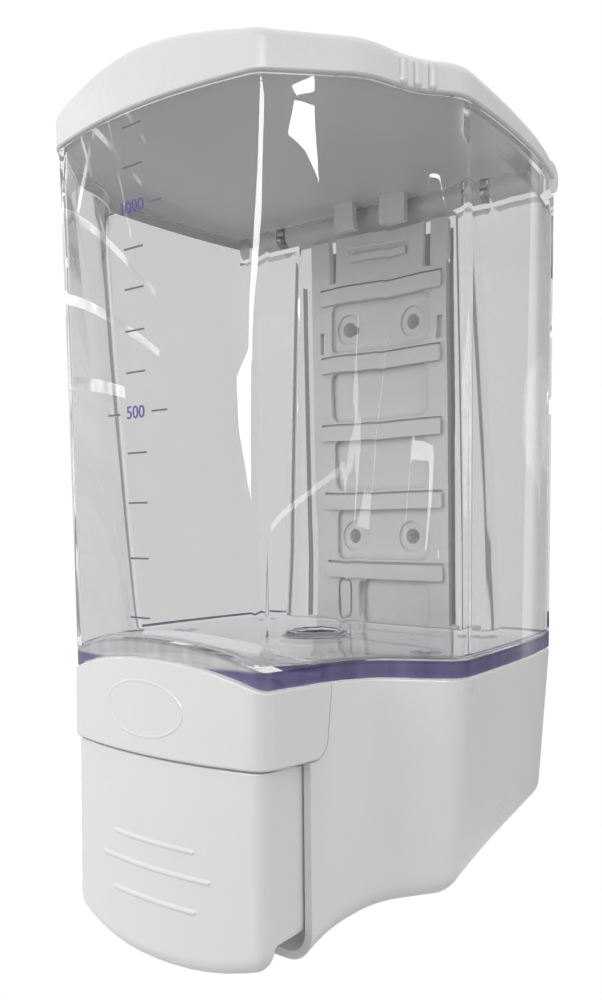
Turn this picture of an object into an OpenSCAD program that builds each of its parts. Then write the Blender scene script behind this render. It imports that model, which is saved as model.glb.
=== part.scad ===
// Wall-mounted soap dispenser: clear tank, hinged lid, push lever and a lift pump.
// Frame: +X to the right seen from the front, +Y into the wall, +Z up.
// The origin is the centre of the four wall screws, on the wall plane.
// The body narrows from the lid to the seam, so its outline is given at both.

/* [Outline at the lid] */
// Width of the body across the shoulders
body_w = 125; // [119:0.5:130]
// Depth from the wall plane to the front of the nose
body_d = 111.5; // [110:0.5:116]
// Width across the front corners of the nose
nose_w = 67; // [62:0.5:72]
// How far the nose's front bows out in the middle
nose_bow = 4; // [3:0.5:6]
// Width across the cheeks, where the nose's slanting sides end
cheek_w = 101.4; // [97:0.2:104]
// Depth of the cheeks
cheek_y = 90.5; // [87:0.5:93]
// Width across the hollows between cheeks and shoulders
hollow_w = 109.6; // [107:0.2:112]
// Depth of the hollows
hollow_y = 77.5; // [75:0.5:80]
// Depth of the shoulders
shoulder_y = 68.9; // [66:0.5:71]
// Width of the body at the wall
back_w = 112.8; // [108:0.2:117]

/* [Outline at the seam] */
// Width across the shoulders
seam_w = 117.2; // [113:0.2:121]
// Depth from the wall plane to the front of the nose
seam_d = 108.4; // [106:0.2:112]
// Width across the front corners of the nose
seam_nose_w = 62.6; // [61:0.2:65]
// Width across the cheeks
seam_cheek_w = 70; // [68:0.2:73]
// Depth of the cheeks
seam_cheek_y = 84; // [81:0.5:86]
// Width across the hollows
seam_hollow_w = 81; // [78:0.5:86]
// Depth of the hollows
seam_hollow_y = 74.5; // [72:0.5:77]
// Depth of the shoulders
seam_shoulder_y = 65.2; // [63:0.2:68]
// Width at the wall
seam_back_w = 106; // [102:0.5:110]

/* [Heights] */
// Height of the lid's lower edge above the wall screws' centre
lid_z = 67.4; // [60:0.2:75]
// Distance from the lid's lower edge down to the seam
tank_h = 132.2; // [120:0.2:145]
// Height of the arch in the seam under the nose
arch_h = 5.5; // [3:0.5:7]
// Gap between the body and the wall plane
wall_gap = 2.6; // [2:0.1:4]

/* [Tank] */
// Wall thickness of the tank
tank_wall = 2; // [1.6:0.1:2.6]
// Thickness of the tank's floor
floor_t = 4.2; // [3.5:0.1:5]
// Height of the neck that the lid goes over
neck_h = 2.6; // [2:0.1:2.8]
// Thickness of the rim, neck included
rim_t = 1.8; // [1.5:0.1:2.4]
// Half width of the bracket channel at the lid
channel_top = 30; // [29.5:0.5:33]
// Half width of the bracket channel at the seam
channel_seam = 36.5; // [34:0.5:38]
// Bore of the outlet spout
outlet_r = 7; // [6:0.1:7.6]
// Outer radius of the outlet spout
spout_r = 10; // [9.6:0.1:11]
// Length of the outlet spout below the seam
spout_h = 6; // [5:0.5:8]

/* [Lid] */
// Height of the lid's edge at the wall
lid_back_h = 5; // [4.6:0.1:6]
// Height of the lid's edge at the nose's corners
lid_front_h = 9.2; // [8:0.1:11]
// Extra height of the lid over the middle of the nose
lid_arch_h = 4.3; // [2:0.1:6]
// Rise of the lid's top from its edge to the middle
lid_dome_h = 1.6; // [1:0.1:4]
// Radius of the lid's top edge
lid_edge_r = 3; // [2.6:0.1:3.6]
// Thickness of the lid's skirt
skirt_t = 1.5; // [1.2:0.1:1.8]
// Thickness of the lid's top
lid_t = 1.8; // [1.4:0.1:2]
// Distance of the lid's hinge line from the wall plane
hinge_y = 6.2; // [5.8:0.1:7]
// Radius of the rolled rear edge around the hinge line
barrel_r = 4.4; // [4:0.1:4.6]
// Radius of the hinge pins
hinge_pin_r = 1.25; // [1:0.05:1.4]
// Length of each hinge pin
hinge_pin_h = 9; // [8:0.5:12]
// Thickness of the tank's hinge ears
ear_t = 3; // [2.5:0.1:4]
// Distance from the middle to each hinge ear's centre
ear_x = 37.5; // [36:0.5:46]
// Length of the two guide lugs under the lid
lug_h = 15; // [10:0.5:18]
// Number of grip ribs on each side of the lid
grip_n = 3; // [2:1:4]
// Radius of the grip ribs
grip_r = 1.2; // [0.9:0.1:1.4]

/* [Base housing] */
// Thickness of the housing's wall
base_t = 1.9; // [1.6:0.1:2.2]
// How much narrower each side is at the foot than at the seam
base_draft = 3.4; // [2:0.1:4.5]
// Drop from the seam to the foot at the wall
base_back_drop = 44.7; // [42:0.5:48]
// Further drop of the foot at the nose
base_nose_drop = 16.4; // [13:0.2:18]
// Radius of the foot's edge
foot_r = 7; // [5:0.5:8]
// Distance from the nose's front back to the housing's open front
flange_back = 17.4; // [16.4:0.2:18.4]
// Radius of the hole for the nozzle
nozzle_hole_r = 9; // [8:0.5:11]

/* [Hood] */
// Drop from the seam to the hood's lower edge
hood_h = 17.2; // [16:0.2:18]
// Thickness of the hood
hood_t = 1.8; // [1.5:0.1:2]
// How far the hood stands proud of the body
hood_proud = 0.6; // [0.3:0.1:1]
// Distance from the nose's front back to the end of the hood's sides
hood_back = 22.4; // [20.4:0.2:23.2]
// Width of the blank oval
oval_w = 32; // [24:1:38]
// Height of the blank oval
oval_h = 13; // [9:0.5:14]

/* [Push lever] */
// Width of the lever
lever_w = 62.6; // [60:0.2:62.8]
// Drop from the seam to the lever's lowest point
lever_drop = 66.4; // [62:0.2:70]
// Thickness of the lever
lever_t = 2.2; // [1.8:0.1:2.6]
// Distance from the nose's front back to the end of the lever's side walls
lever_back = 22.9; // [20.4:0.2:24.4]
// Drop from the seam to the lower edge of the lever's side walls
cheek_drop = 55.8; // [52:0.2:57]
// Depth of the lever's lower lip
lip_d = 3.6; // [3:0.1:4.4]
// Radius of the lever's lower edge
lever_edge_r = 5; // [3:0.5:6]
// Distance from the nose's front back to the pivot
pivot_back = 10.4; // [9.4:0.2:11.4]
// Drop from the seam to the pivot
pivot_drop = 8.8; // [8:0.1:10]
// Radius of the pivot pin
pivot_r = 1.5; // [1.2:0.05:1.8]
// Length of the pivot pin
pivot_h = 54; // [53.4:0.2:58]

/* [Pump] */
// Distance of the pump's axis from the wall plane
pump_y = 44.5; // [42:0.5:47]
// Inner radius of the pump's cylinder
bore_r = 6.8; // [6.2:0.1:7]
// Outer radius of the pump's cylinder
barrel_out_r = 8.5; // [8.2:0.1:8.8]
// Length of the pump's cylinder
cylinder_h = 15; // [14.6:0.1:15.2]
// Thickness of the sealing ring above the pump
gasket_t = 1.5; // [1:0.1:2]
// Drop from the seam to the top of the lift collar
collar_drop = 34.8; // [34.6:0.1:36]
// Thickness of the lift collar
collar_t = 3; // [2:0.1:3.4]
// Radius of the lift collar
collar_r = 12.5; // [12:0.1:13.5]
// Radius of the plunger's stem
stem_r = 4; // [3.5:0.1:4.4]
// Radius of the soap passage
passage_r = 1.8; // [1.2:0.1:2.2]
// Drop from the seam to the nozzle's tip
nozzle_drop = 53.5; // [51:0.5:58]
// Wire radius of the return spring
wire_r = 0.7; // [0.5:0.05:0.9]
// Turns of the return spring
spring_turns = 6; // [4:0.5:7]

/* [Wall bracket] */
// Width of the bracket
bracket_w = 52; // [50:0.5:52.4]
// How far the bracket's front stands out from the wall
bracket_d = 9; // [8.6:0.1:10]
// Thickness of the bracket's front plate
plate_t = 2.2; // [2:0.1:2.6]
// Distance between two ledges
ledge_pitch = 22.2; // [20:0.2:23]
// Number of ledges
ledge_n = 5; // [4:1:5]
// Height of each ledge
ledge_h = 4.7; // [3.5:0.1:6]
// Distance between the screw holes, side to side
screw_span_x = 22; // [18:1:26]
// Pitches of the ledges between the upper and lower screw holes
screw_pitches = 3; // [1:1:3]
// Radius of the screw holes
screw_r = 2.4; // [2:0.1:3]
// Height of the free tongue at the bracket's top
tongue_h = 14; // [12:0.5:16]
// Width of the slots beside the tongue
slot_w = 3; // [2:0.1:4]

/* [Hidden] */

$fn = 48;
eps = 0.05;            // bite that fuses two shapes of one piece
far = 200;             // longer than any cut needs to be
seat_gap = 0.3;        // gap between pieces that lie on each other
lift_gap = 0.15;       // gap between the lever's fork and the pump's collar
run_gap = 0.05;        // radial clearance of a pin in its bore
corner_steps = 4;      // segments in each rounded corner
least_soft = 0.3;      // smallest corner that an inset may leave

seam_z = lid_z - tank_h;
base_z = seam_z - seat_gap;
hood_z = seam_z - hood_h;
pivot_z = seam_z - pivot_drop;
flange_y = seam_d - flange_back;
hood_y = seam_d - hood_back;
lever_back_y = seam_d - lever_back;
pivot_y = seam_d - pivot_back;

// ---- Outlines ----

// Half outlines from the middle of the nose to the wall: [x, y, softness].
// Softness is how far from its tip each corner starts to bend.
lid_half = [
    [0, -body_d - 0.74 * nose_bow, 28],
    [nose_w / 2, -body_d + nose_bow, 4.5],
    [cheek_w / 2, -cheek_y, 4.5],
    [hollow_w / 2, -hollow_y, 4.5],
    [body_w / 2, -shoulder_y, 4.5],
    [body_w / 2 + 0.2, -shoulder_y * 0.68, 12],
    [(body_w + back_w) / 4 + 1.2, -shoulder_y * 0.33, 9],
    [back_w / 2, -wall_gap, 2]
];
seam_half = [
    [0, -seam_d - 0.74 * nose_bow, 26],
    [seam_nose_w / 2, -seam_d + nose_bow, 3.5],
    [seam_cheek_w / 2, -seam_cheek_y, 4],
    [seam_hollow_w / 2, -seam_hollow_y, 4.5],
    [seam_w / 2, -seam_shoulder_y, 4.5],
    [seam_w / 2 - 0.6, -seam_shoulder_y * 0.68, 12],
    [(seam_w + seam_back_w) / 4 + 0.2, -seam_shoulder_y * 0.33, 9],
    [seam_back_w / 2, -wall_gap, 2]
];
foot_half = [
    for (i = [0 : len(seam_half) - 1])
        seam_half[i] - (i < 4 ? [0, 0, 0] : [base_draft, 0, 0])
];
lever_half = [
    [0, -seam_d - 0.74 * nose_bow, 26],
    [lever_w / 2, -seam_d + nose_bow, 3.5],
    [lever_w / 2, -lever_back_y + 4, 1]
];

function xy(p) = [p.x, p.y];
function unit(v) = v / norm(v);
function whole(half) = concat(
    half,
    [for (i = [len(half) - 1 : -1 : 1]) [-half[i].x, half[i].y, half[i].z]]
);
// Half outline of the body at height z, straight between the seam and the lid
function body_half(z) =
    let (t = (z - seam_z) / tank_h)
    seam_half + t * (lid_half - seam_half);

// The rounded corner at b between a and c, moved inwards by inset
function soft_corner(a, b, c, inset) =
    let (
        come = unit(xy(b) - xy(a)),
        go = unit(xy(c) - xy(b)),
        into = [-come.y - go.y, come.x + go.x],
        tip = xy(b) + into * inset / (1 + come * go),
        bend = (come.x * go.y - come.y * go.x) / (1 + come * go),
        reach = max(least_soft, b.z - inset * bend),
        from = tip - come * reach,
        to = tip + go * reach
    )
    [
        for (i = [0 : corner_steps])
            let (s = i / corner_steps)
            from * (1 - s) * (1 - s) + tip * 2 * s * (1 - s) + to * s * s
    ];

// Closed outline that starts in the middle of the nose
function outline(half, inset) =
    let (
        keys = whole(half),
        n = len(keys),
        points = [
            for (i = [0 : n - 1])
                each soft_corner(keys[(i + n - 1) % n], keys[i], keys[(i + 1) % n], inset)
        ],
        m = len(points)
    )
    [for (i = [0 : m - 1]) points[(i + corner_steps / 2) % m]];

// Outline at one height
function flat_ring(half, inset, z) = [for (p = outline(half, inset)) [p.x, p.y, z]];

// Solid through rings of equal length, each the same left and right of the middle
module loft(rings) {
    n = len(rings[0]);
    last = (len(rings) - 1) * n;
    rungs = (n - 1) / 2;
    function cap(k, flip) = [
        for (i = [0 : rungs - 1])
            let (face = i == 0
                ? [k, k + 1, k + n - 1]
                : [k + i, k + i + 1, k + n - i - 1, k + n - i])
            flip ? [for (j = [len(face) - 1 : -1 : 0]) face[j]] : face
    ];
    polyhedron(
        points = [for (ring = rings) each ring],
        faces = concat(
            cap(0, false),
            [
                for (k = [0 : len(rings) - 2], i = [0 : n - 1])
                    let (a = k * n + i, b = k * n + (i + 1) % n)
                    each [[a, a + n, b + n], [a, b + n, b]]
            ],
            cap(last, true)
        ),
        convexity = 8
    );
}

// ---- Shapes shared by the tank, the housing and the hood ----

hinge_z = lid_z + lid_back_h - barrel_r;
channel_d = bracket_d + 2;
notch_d = hinge_y + barrel_r + 0.4;
notch_h = 2 * barrel_r - lid_back_h + 0.4;
nose_half_w = seam_nose_w / 2;

// Channel in the back that the wall bracket stands in, grown by extra
module back_channel(extra) {
    low = seam_z - far;
    high = lid_z + far;
    top = channel_top + extra;
    bottom = channel_seam + extra;
    translate([0, 1, 0])
        rotate([90, 0, 0])
            linear_extrude(1 + channel_d + extra)
                polygon([
                    [-bottom, low], [bottom, low], [bottom, seam_z], [top, lid_z],
                    [top, high], [-top, high], [-top, lid_z], [-bottom, seam_z]
                ]);
}

// Notch along the tank's rear rim for the lid's rolled edge, grown by extra
module hinge_notch(extra) {
    translate([-far / 2, -notch_d - extra, lid_z - notch_h - extra])
        cube([far, far, far]);
}

// Height of the arch above the seam, below it beyond the nose's sides
function arch(x) = arch_h * (1 - pow(abs(x) / nose_half_w, 2.3));

// Everything below the arch under the nose, raised by lift
module under_arch(lift, back) {
    steps = 16;
    half_w = nose_half_w * 1.04;
    translate([0, -back, 0])
        rotate([90, 0, 0])
            linear_extrude(far)
                polygon(concat(
                    [[half_w, seam_z - far], [-half_w, seam_z - far]],
                    [
                        for (i = [0 : steps])
                            let (x = half_w * (2 * i / steps - 1))
                            [x, seam_z + arch(x) + lift]
                    ]
                ));
}

module left_and_right() {
    children();
    mirror([1, 0, 0]) children();
}

// Rod along X from x0 to x1 through [y, z]
module rod_x(x0, x1, y, z, r) {
    translate([x0, y, z])
        rotate([0, 90, 0])
            cylinder(h = x1 - x0, r = r);
}

// Box from one corner to the other
module block(low, high) {
    translate(low) cube(high - low);
}

// ---- Wall bracket ----

bracket_top = lid_z - notch_h - seat_gap;
first_ledge_z = (screw_pitches + 1.2) * ledge_pitch / 2;
bracket_low = first_ledge_z - ledge_n * ledge_pitch;
edge_x = bracket_w / 2;
spine_x = edge_x - 6.5;    // outer face of the walls that reach the wall plane
spine_t = 2;
pocket_x = spine_x - 1.5;
pocket_t = plate_t - 1;    // what is left of the plate in a pocket
tongue_x = spine_x - 0.8;
catch_x = 9;               // half width of the tongue's catch
catch_h = 2.4;
catch_z = bracket_top - 8.6;
ledge_out = 1;             // how far the ledges and the catch stand out
pocket_r = 3;              // radius of the pockets' upper corners
boss_t = 2.6;              // wall around each screw hole
rail_foot = 3;             // how far the feet under the tank's rails reach out
window_w = 2;
window_h = 7;
head_seat = 4;             // distance of the screw heads' seats from the wall
screw_zs = [for (s = [1, -1]) s * screw_pitches * ledge_pitch / 2];
rail_low = bracket_low + 4;
rail_t = 1.8;

module pocket(z_top) {
    depth = plate_t - pocket_t;
    h = ledge_pitch - ledge_h;
    r = pocket_r;
    translate([0, -bracket_d + depth, 0])
        rotate([90, 0, 0])
            linear_extrude(depth + 1)
                union() {
                    translate([-pocket_x, z_top - h]) square([2 * pocket_x, h - r]);
                    translate([-pocket_x + r, z_top - r])
                        square([2 * (pocket_x - r), r]);
                    for (s = [-1, 1])
                        translate([s * (pocket_x - r), z_top - r]) circle(r);
                }
}

module wall_bracket() {
    front = -bracket_d;
    rear = front + plate_t;
    slots_low = bracket_top - tongue_h;
    window_z = first_ledge_z - ledge_pitch + 2;
    window_x = (spine_x + edge_x - window_w) / 2 - 0.9;
    color("white")
        difference() {
            union() {
                block([-edge_x, front, bracket_low], [edge_x, rear, bracket_top]);
                left_and_right()
                    block([spine_x - spine_t, rear - eps, bracket_low],
                          [spine_x, 0, slots_low - 1]);
                // Ledges
                for (i = [0 : ledge_n - 1])
                    block([-spine_x, front - ledge_out, first_ledge_z - i * ledge_pitch - ledge_h],
                          [spine_x, front + eps, first_ledge_z - i * ledge_pitch]);
                // Rungs behind the ledges
                for (i = [0 : ledge_n - 1])
                    block([-spine_x, rear - eps, first_ledge_z - i * ledge_pitch - spine_t],
                          [spine_x, 0, first_ledge_z - i * ledge_pitch]);
                // Screw bosses
                for (s = [-1, 1], z = screw_zs)
                    translate([s * screw_span_x / 2, 0, z])
                        rotate([90, 0, 0]) cylinder(h = -rear + eps, r = screw_r + boss_t);
                // Catch on the tongue
                block([-catch_x, front - ledge_out, catch_z],
                      [catch_x, front + eps, catch_z + catch_h]);
                // Feet that carry the tank's rails
                left_and_right()
                    block([spine_x, front, bracket_low],
                          [edge_x + rail_foot, 0, rail_low - seat_gap]);
            }
            for (i = [0 : ledge_n - 1])
                pocket(first_ledge_z - i * ledge_pitch - ledge_h);
            // Slots that free the tongue
            left_and_right()
                block([tongue_x - slot_w, front - 1, slots_low], [tongue_x, 1, bracket_top + 1]);
            // Windows beside the first ledge
            left_and_right()
                block([window_x, front - 1, window_z],
                      [window_x + window_w, 0, window_z + window_h]);
            // Screw holes and head seats
            for (s = [-1, 1], z = screw_zs)
                translate([s * screw_span_x / 2, 1, z])
                    rotate([90, 0, 0]) cylinder(h = bracket_d + 2, r = screw_r);
            for (s = [-1, 1], z = screw_zs)
                translate([s * screw_span_x / 2, -head_seat, z])
                    rotate([90, 0, 0]) cylinder(h = bracket_d, r = screw_r * 2);
        }
}

// ---- Tank ----

neck_inset = skirt_t + 0.5;
grip_step = 1.7;           // outline points from one grip rib to the next
lid_lap = 0.6;             // how far the lid overhangs the tank's wall
screw_posts = [
    [seam_back_w / 2 - 13, -20],
    [seam_w / 2 - 16.6, -seam_shoulder_y + 11.2]
];
post_drop = 7;

// Tank wall below the neck, moved inwards by inset
function wall_ring(inset, z) =
    flat_ring(body_half(z), inset + lid_lap * (z - seam_z) / tank_h, z);
function neck_ring(inset, z) = flat_ring(lid_half, neck_inset + inset, z);

module soap_space() {
    shoulder_z = lid_z - notch_h - 6;
    difference() {
        loft([
            wall_ring(tank_wall, seam_z + floor_t),
            wall_ring(tank_wall, shoulder_z),
            neck_ring(rim_t, shoulder_z + 3),
            neck_ring(rim_t, lid_z + neck_h + 1)
        ]);
        back_channel(tank_wall);
        hinge_notch(tank_wall);
        under_arch(floor_t, seam_cheek_y - tank_wall);
    }
}

module hinge_ear() {
    r = hinge_pin_r + 1.1;
    x0 = ear_x - ear_t / 2;
    x1 = ear_x + ear_t / 2;
    rod_x(x0, x1, -hinge_y, hinge_z, r);
    block([x0, -notch_d - eps, hinge_z - r], [x1, -hinge_y, hinge_z + r]);
}

// L-shaped rail that hooks behind the bracket's edge
module rail() {
    x = edge_x + seat_gap;
    toe_y = -bracket_d + plate_t + seat_gap;
    outer = [x + rail_t, toe_y + rail_t, bracket_top - tongue_h];
    block([x, -channel_d - eps, rail_low], outer);
    block([spine_x + 4, toe_y, rail_low], outer);
}

module tank() {
    color([0.78, 0.77, 0.86, 0.4])
        difference() {
            union() {
                difference() {
                    loft([
                        wall_ring(0, seam_z),
                        wall_ring(0, lid_z - seat_gap),
                        neck_ring(0, lid_z - seat_gap),
                        neck_ring(0, lid_z + neck_h)
                    ]);
                    back_channel(0);
                    hinge_notch(0);
                    under_arch(0, seam_cheek_y);
                    soap_space();
                }
                left_and_right() hinge_ear();
                left_and_right() rail();
                // Ledge that the bracket's tongue catches under
                block([-catch_x, -channel_d - eps, catch_z + catch_h + seat_gap],
                      [catch_x, -bracket_d - seat_gap, catch_z + catch_h + seat_gap + 1.6]);
                translate([0, -pump_y, seam_z - spout_h])
                    cylinder(h = spout_h + 1, r = spout_r);
                translate([0, -pump_y, seam_z + 1]) cylinder(h = floor_t, r = outlet_r + rim_t);
                for (p = screw_posts)
                    left_and_right()
                        translate([p.x, p.y, seam_z - post_drop])
                            cylinder(h = post_drop + 1, r = 4);
            }
            translate([0, -pump_y, seam_z - spout_h - 1])
                cylinder(h = spout_h + floor_t + 3, r = outlet_r);
            left_and_right()
                rod_x(ear_x - ear_t, ear_x + ear_t, -hinge_y, hinge_z, hinge_pin_r + run_gap);
            for (p = screw_posts)
                left_and_right()
                    translate([p.x, p.y, seam_z - post_drop - 1])
                        cylinder(h = post_drop + 1 + floor_t / 2, r = base_screw_r + run_gap);
        }
}

// ---- Lid ----

// Height of the lid's edge over the point [x, y], above its lower edge
function lid_h(x, y) =
    let (
        forward = min(1, max(0, -y / body_d)),
        over_nose = max(0, 1 - pow(2 * x / (nose_w + 4), 2))
    )
    lid_back_h + (lid_front_h - lid_back_h) * pow(forward, 1.3)
    + lid_arch_h * pow(over_nose, 1.5) * pow(forward, 3);

// Rings of the lid's surface, its skirt inset by skin and its top lowered by drop
function lid_rings(skin, drop, low) =
    let (
        middle = [0, -body_d * 0.5],
        r = max(0.8, lid_edge_r - skin),
        edge = outline(lid_half, skin + r)
    )
    concat(
        [flat_ring(lid_half, skin, lid_z + low)],
        [
            for (a = [0, 30, 60, 90])
                [
                    for (p = outline(lid_half, skin + r * (1 - cos(a))))
                        [p.x, p.y, lid_z + lid_h(p.x, p.y) - drop - r * (1 - sin(a))]
                ]
        ],
        [
            for (s = [0.75, 0.5, 0.25])
                [
                    for (p = edge)
                        let (q = middle + s * (p - middle))
                        [q.x, q.y, lid_z + lid_h(q.x, q.y) - drop + lid_dome_h * (1 - s * s)]
                ]
        ]
    );

lug_x = [3.5, 12.5];
lug_t = 2.6;
lug_y = -notch_d - tank_wall - 2;

// Upright rib on the skirt, number i of those around the hollow
module grip_rib(i) {
    points = outline(lid_half, grip_r * 0.25);
    hollow = 2.5 * (corner_steps + 1) + corner_steps / 2;    // index of its middle
    at = hollow + grip_step * (i - (grip_n - 1) / 2);
    k = floor(at);
    p = points[k] + (at - k) * (points[k + 1] - points[k]);
    translate([p.x, p.y, lid_z + 0.6 + grip_r / 2]) {
        cylinder(h = lid_back_h - grip_r, r = grip_r, $fn = 24);
        for (z = [0, lid_back_h - grip_r]) translate([0, 0, z]) sphere(r = grip_r, $fn = 24);
    }
}

module lid() {
    ear_room = 0.4;
    slot_top = hinge_z + hinge_pin_r + 1.5;
    half_w = back_w / 2;
    bore_x = hinge_pin_h / 2 + 0.3;
    color("white")
        difference() {
            union() {
                difference() {
                    loft(lid_rings(0, 0, 0));
                    loft(lid_rings(skirt_t, lid_t, -1));
                    // Nothing is left behind the hinge line but the rolled edge
                    block([-far / 2, -hinge_y, lid_z - far / 2], [far / 2, far, lid_z + far]);
                }
                rod_x(-half_w, half_w, -hinge_y, hinge_z, barrel_r);
                // Two guide lugs that hang inside the tank's rear wall
                left_and_right()
                    block([lug_x[0], lug_y - lug_t, lid_z - lug_h],
                          [lug_x[1], lug_y, lid_z + lid_back_h - 0.2]);
                left_and_right()
                    for (i = [0 : grip_n - 1]) grip_rib(i);
            }
            // Room for the tank's ears, and bores for the pins
            left_and_right()
                block([ear_x - ear_t / 2 - ear_room, -notch_d - 1, lid_z - far / 2],
                      [ear_x + ear_t / 2 + ear_room, 1, slot_top]);
            left_and_right()
                rod_x(ear_x - bore_x, ear_x + bore_x, -hinge_y, hinge_z, hinge_pin_r + run_gap);
        }
}

module lid_hinge_pins() {
    color("silver")
        left_and_right()
            rod_x(ear_x - hinge_pin_h / 2, ear_x + hinge_pin_h / 2, -hinge_y, hinge_z,
                  hinge_pin_r);
}

// ---- Base housing ----

foot_reach = flange_y - 4;
foot_power = 2.6;
base_screw_r = 1.25;
screw_head_r = 3;
post_r = 5;
screw_grip = 5;            // height of the post above each screw's head
beam_t = 2;
beam_low = hood_z + 1.7;
beam_high = seam_z - 2.4;
pivot_ear_x = [19, 22];
lever_ear_x = [23.2, 26.2];
ear_r = pivot_r + 2.3;
hood_screw_x = 14;
hood_screw_drop = 4.4;
hood_screw_r = 1.1;
hood_boss_r = 2.3;
hood_boss_h = 9;
hood_screw_spare = 3;      // end of the boss that the screw doesn't reach
lining_in = hood_t - hood_proud + seat_gap;
lining_t = 1.2;

// Height of the foot's underside at depth y, falling ever faster towards the front
function foot_z(y) =
    seam_z - base_back_drop - base_nose_drop * pow(max(0, -y) / foot_reach, foot_power);

function base_rings(skin, top) =
    let (r = foot_r - skin)
    concat(
        [flat_ring(seam_half, skin, top)],
        [
            for (a = [0, 30, 60, 90])
                [
                    for (p = outline(foot_half, skin + r * (1 - cos(a))))
                        [p.x, p.y, foot_z(p.y) + skin + r * (1 - sin(a))]
                ]
        ]
    );

module base_shell() {
    difference() {
        loft_down(base_rings(0, base_z));
        back_channel(0);
        difference() {
            loft_down(base_rings(base_t, base_z + 1));
            back_channel(base_t);
        }
        // Open front
        block([-far / 2, -far, seam_z - far], [far / 2, -flange_y, seam_z + far]);
        // Rebate that the hood's sides lie in
        difference() {
            block([-far / 2, -far, hood_z - seat_gap], [far / 2, -hood_y + seat_gap, base_z + 1]);
            loft([flat_ring(seam_half, lining_in, hood_z - 2),
                  flat_ring(seam_half, lining_in, base_z + 2)]);
        }
    }
}

// Thicker wall behind the hood's sides
module hood_lining() {
    low = hood_z + 1;
    intersection() {
        difference() {
            loft([flat_ring(seam_half, lining_in, low), flat_ring(seam_half, lining_in, base_z)]);
            loft([flat_ring(seam_half, lining_in + lining_t, low - 1),
                  flat_ring(seam_half, lining_in + lining_t, base_z + 1)]);
        }
        block([-far / 2, -flange_y, low - 1], [far / 2, -hood_y + lining_t, base_z + 1]);
    }
}

module loft_down(rings) {
    loft([for (i = [len(rings) - 1 : -1 : 0]) rings[i]]);
}

module base_housing() {
    beam_x = seam_nose_w / 2 + 0.9;
    color("white")
        difference() {
            union() {
                base_shell();
                hood_lining();
                // Beam behind the hood with the lever's two bearings
                block([-beam_x, -flange_y, beam_low], [beam_x, -flange_y + beam_t, beam_high]);
                left_and_right() {
                    rod_x(pivot_ear_x[0], pivot_ear_x[1], -pivot_y, pivot_z, ear_r);
                    block([pivot_ear_x[0], -pivot_y, pivot_z - ear_r],
                          [pivot_ear_x[1], -flange_y + eps, pivot_z + ear_r]);
                }
                for (p = screw_posts)
                    left_and_right()
                        screw_post(p);
            }
            left_and_right()
                rod_x(pivot_ear_x[0] - 1, pivot_ear_x[1] + 1, -pivot_y, pivot_z,
                      pivot_r + run_gap);
            translate([0, -pump_y, seam_z - far])
                cylinder(h = far - base_back_drop / 2, r = nozzle_hole_r);
            left_and_right()
                translate([hood_screw_x, -flange_y + beam_t + 1, seam_z - hood_screw_drop])
                    rotate([90, 0, 0]) cylinder(h = beam_t + 2, r = hood_screw_r + 0.3);
            for (p = screw_posts)
                left_and_right()
                    translate([p.x, p.y, seam_z]) {
                        translate([0, 0, -far / 2])
                            cylinder(h = far / 2, r = base_screw_r + 0.4);
                        translate([0, 0, -far])
                            cylinder(h = far - post_drop - screw_grip, r = screw_head_r + 0.4);
                    }
        }
}

// Post from the housing's floor up to the tank's boss
module screw_post(p) {
    low = foot_z(p.y) + base_t / 2;
    translate([p.x, p.y, low])
        cylinder(h = seam_z - post_drop - seat_gap - low, r = post_r);
}

module base_screws() {
    color("silver")
        for (p = screw_posts)
            left_and_right()
                translate([p.x, p.y, seam_z - post_drop - screw_grip]) {
                    translate([0, 0, -2]) cylinder(h = 2, r = screw_head_r);
                    cylinder(h = post_drop + screw_grip - 1, r = base_screw_r);
                }
}

// ---- Front hood ----

hood_in = hood_t - hood_proud;
oval_line = 1;             // width of the oval's raised lip
oval_lip = 0.35;           // how far the lip stands out of the hood

// Solid nose below the arch, moved inwards by inset
module nose_block(inset, lift, low) {
    intersection() {
        loft([flat_ring(seam_half, inset, low), flat_ring(seam_half, inset, seam_z + 2 * arch_h)]);
        union() {
            under_arch(lift, hood_y);
            block([-far / 2, -far, seam_z - far], [far / 2, -hood_y, seam_z + lift]);
        }
    }
}

module ellipse_prism(w, h) {
    steps = 48;
    translate([0, -flange_y, (seam_z + arch_h + hood_z) / 2 - 0.6])
        rotate([90, 0, 0])
            linear_extrude(far)
                polygon([
                    for (i = [0 : steps - 1])
                        [w / 2 * cos(360 * i / steps), h / 2 * sin(360 * i / steps)]
                ]);
}

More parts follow.
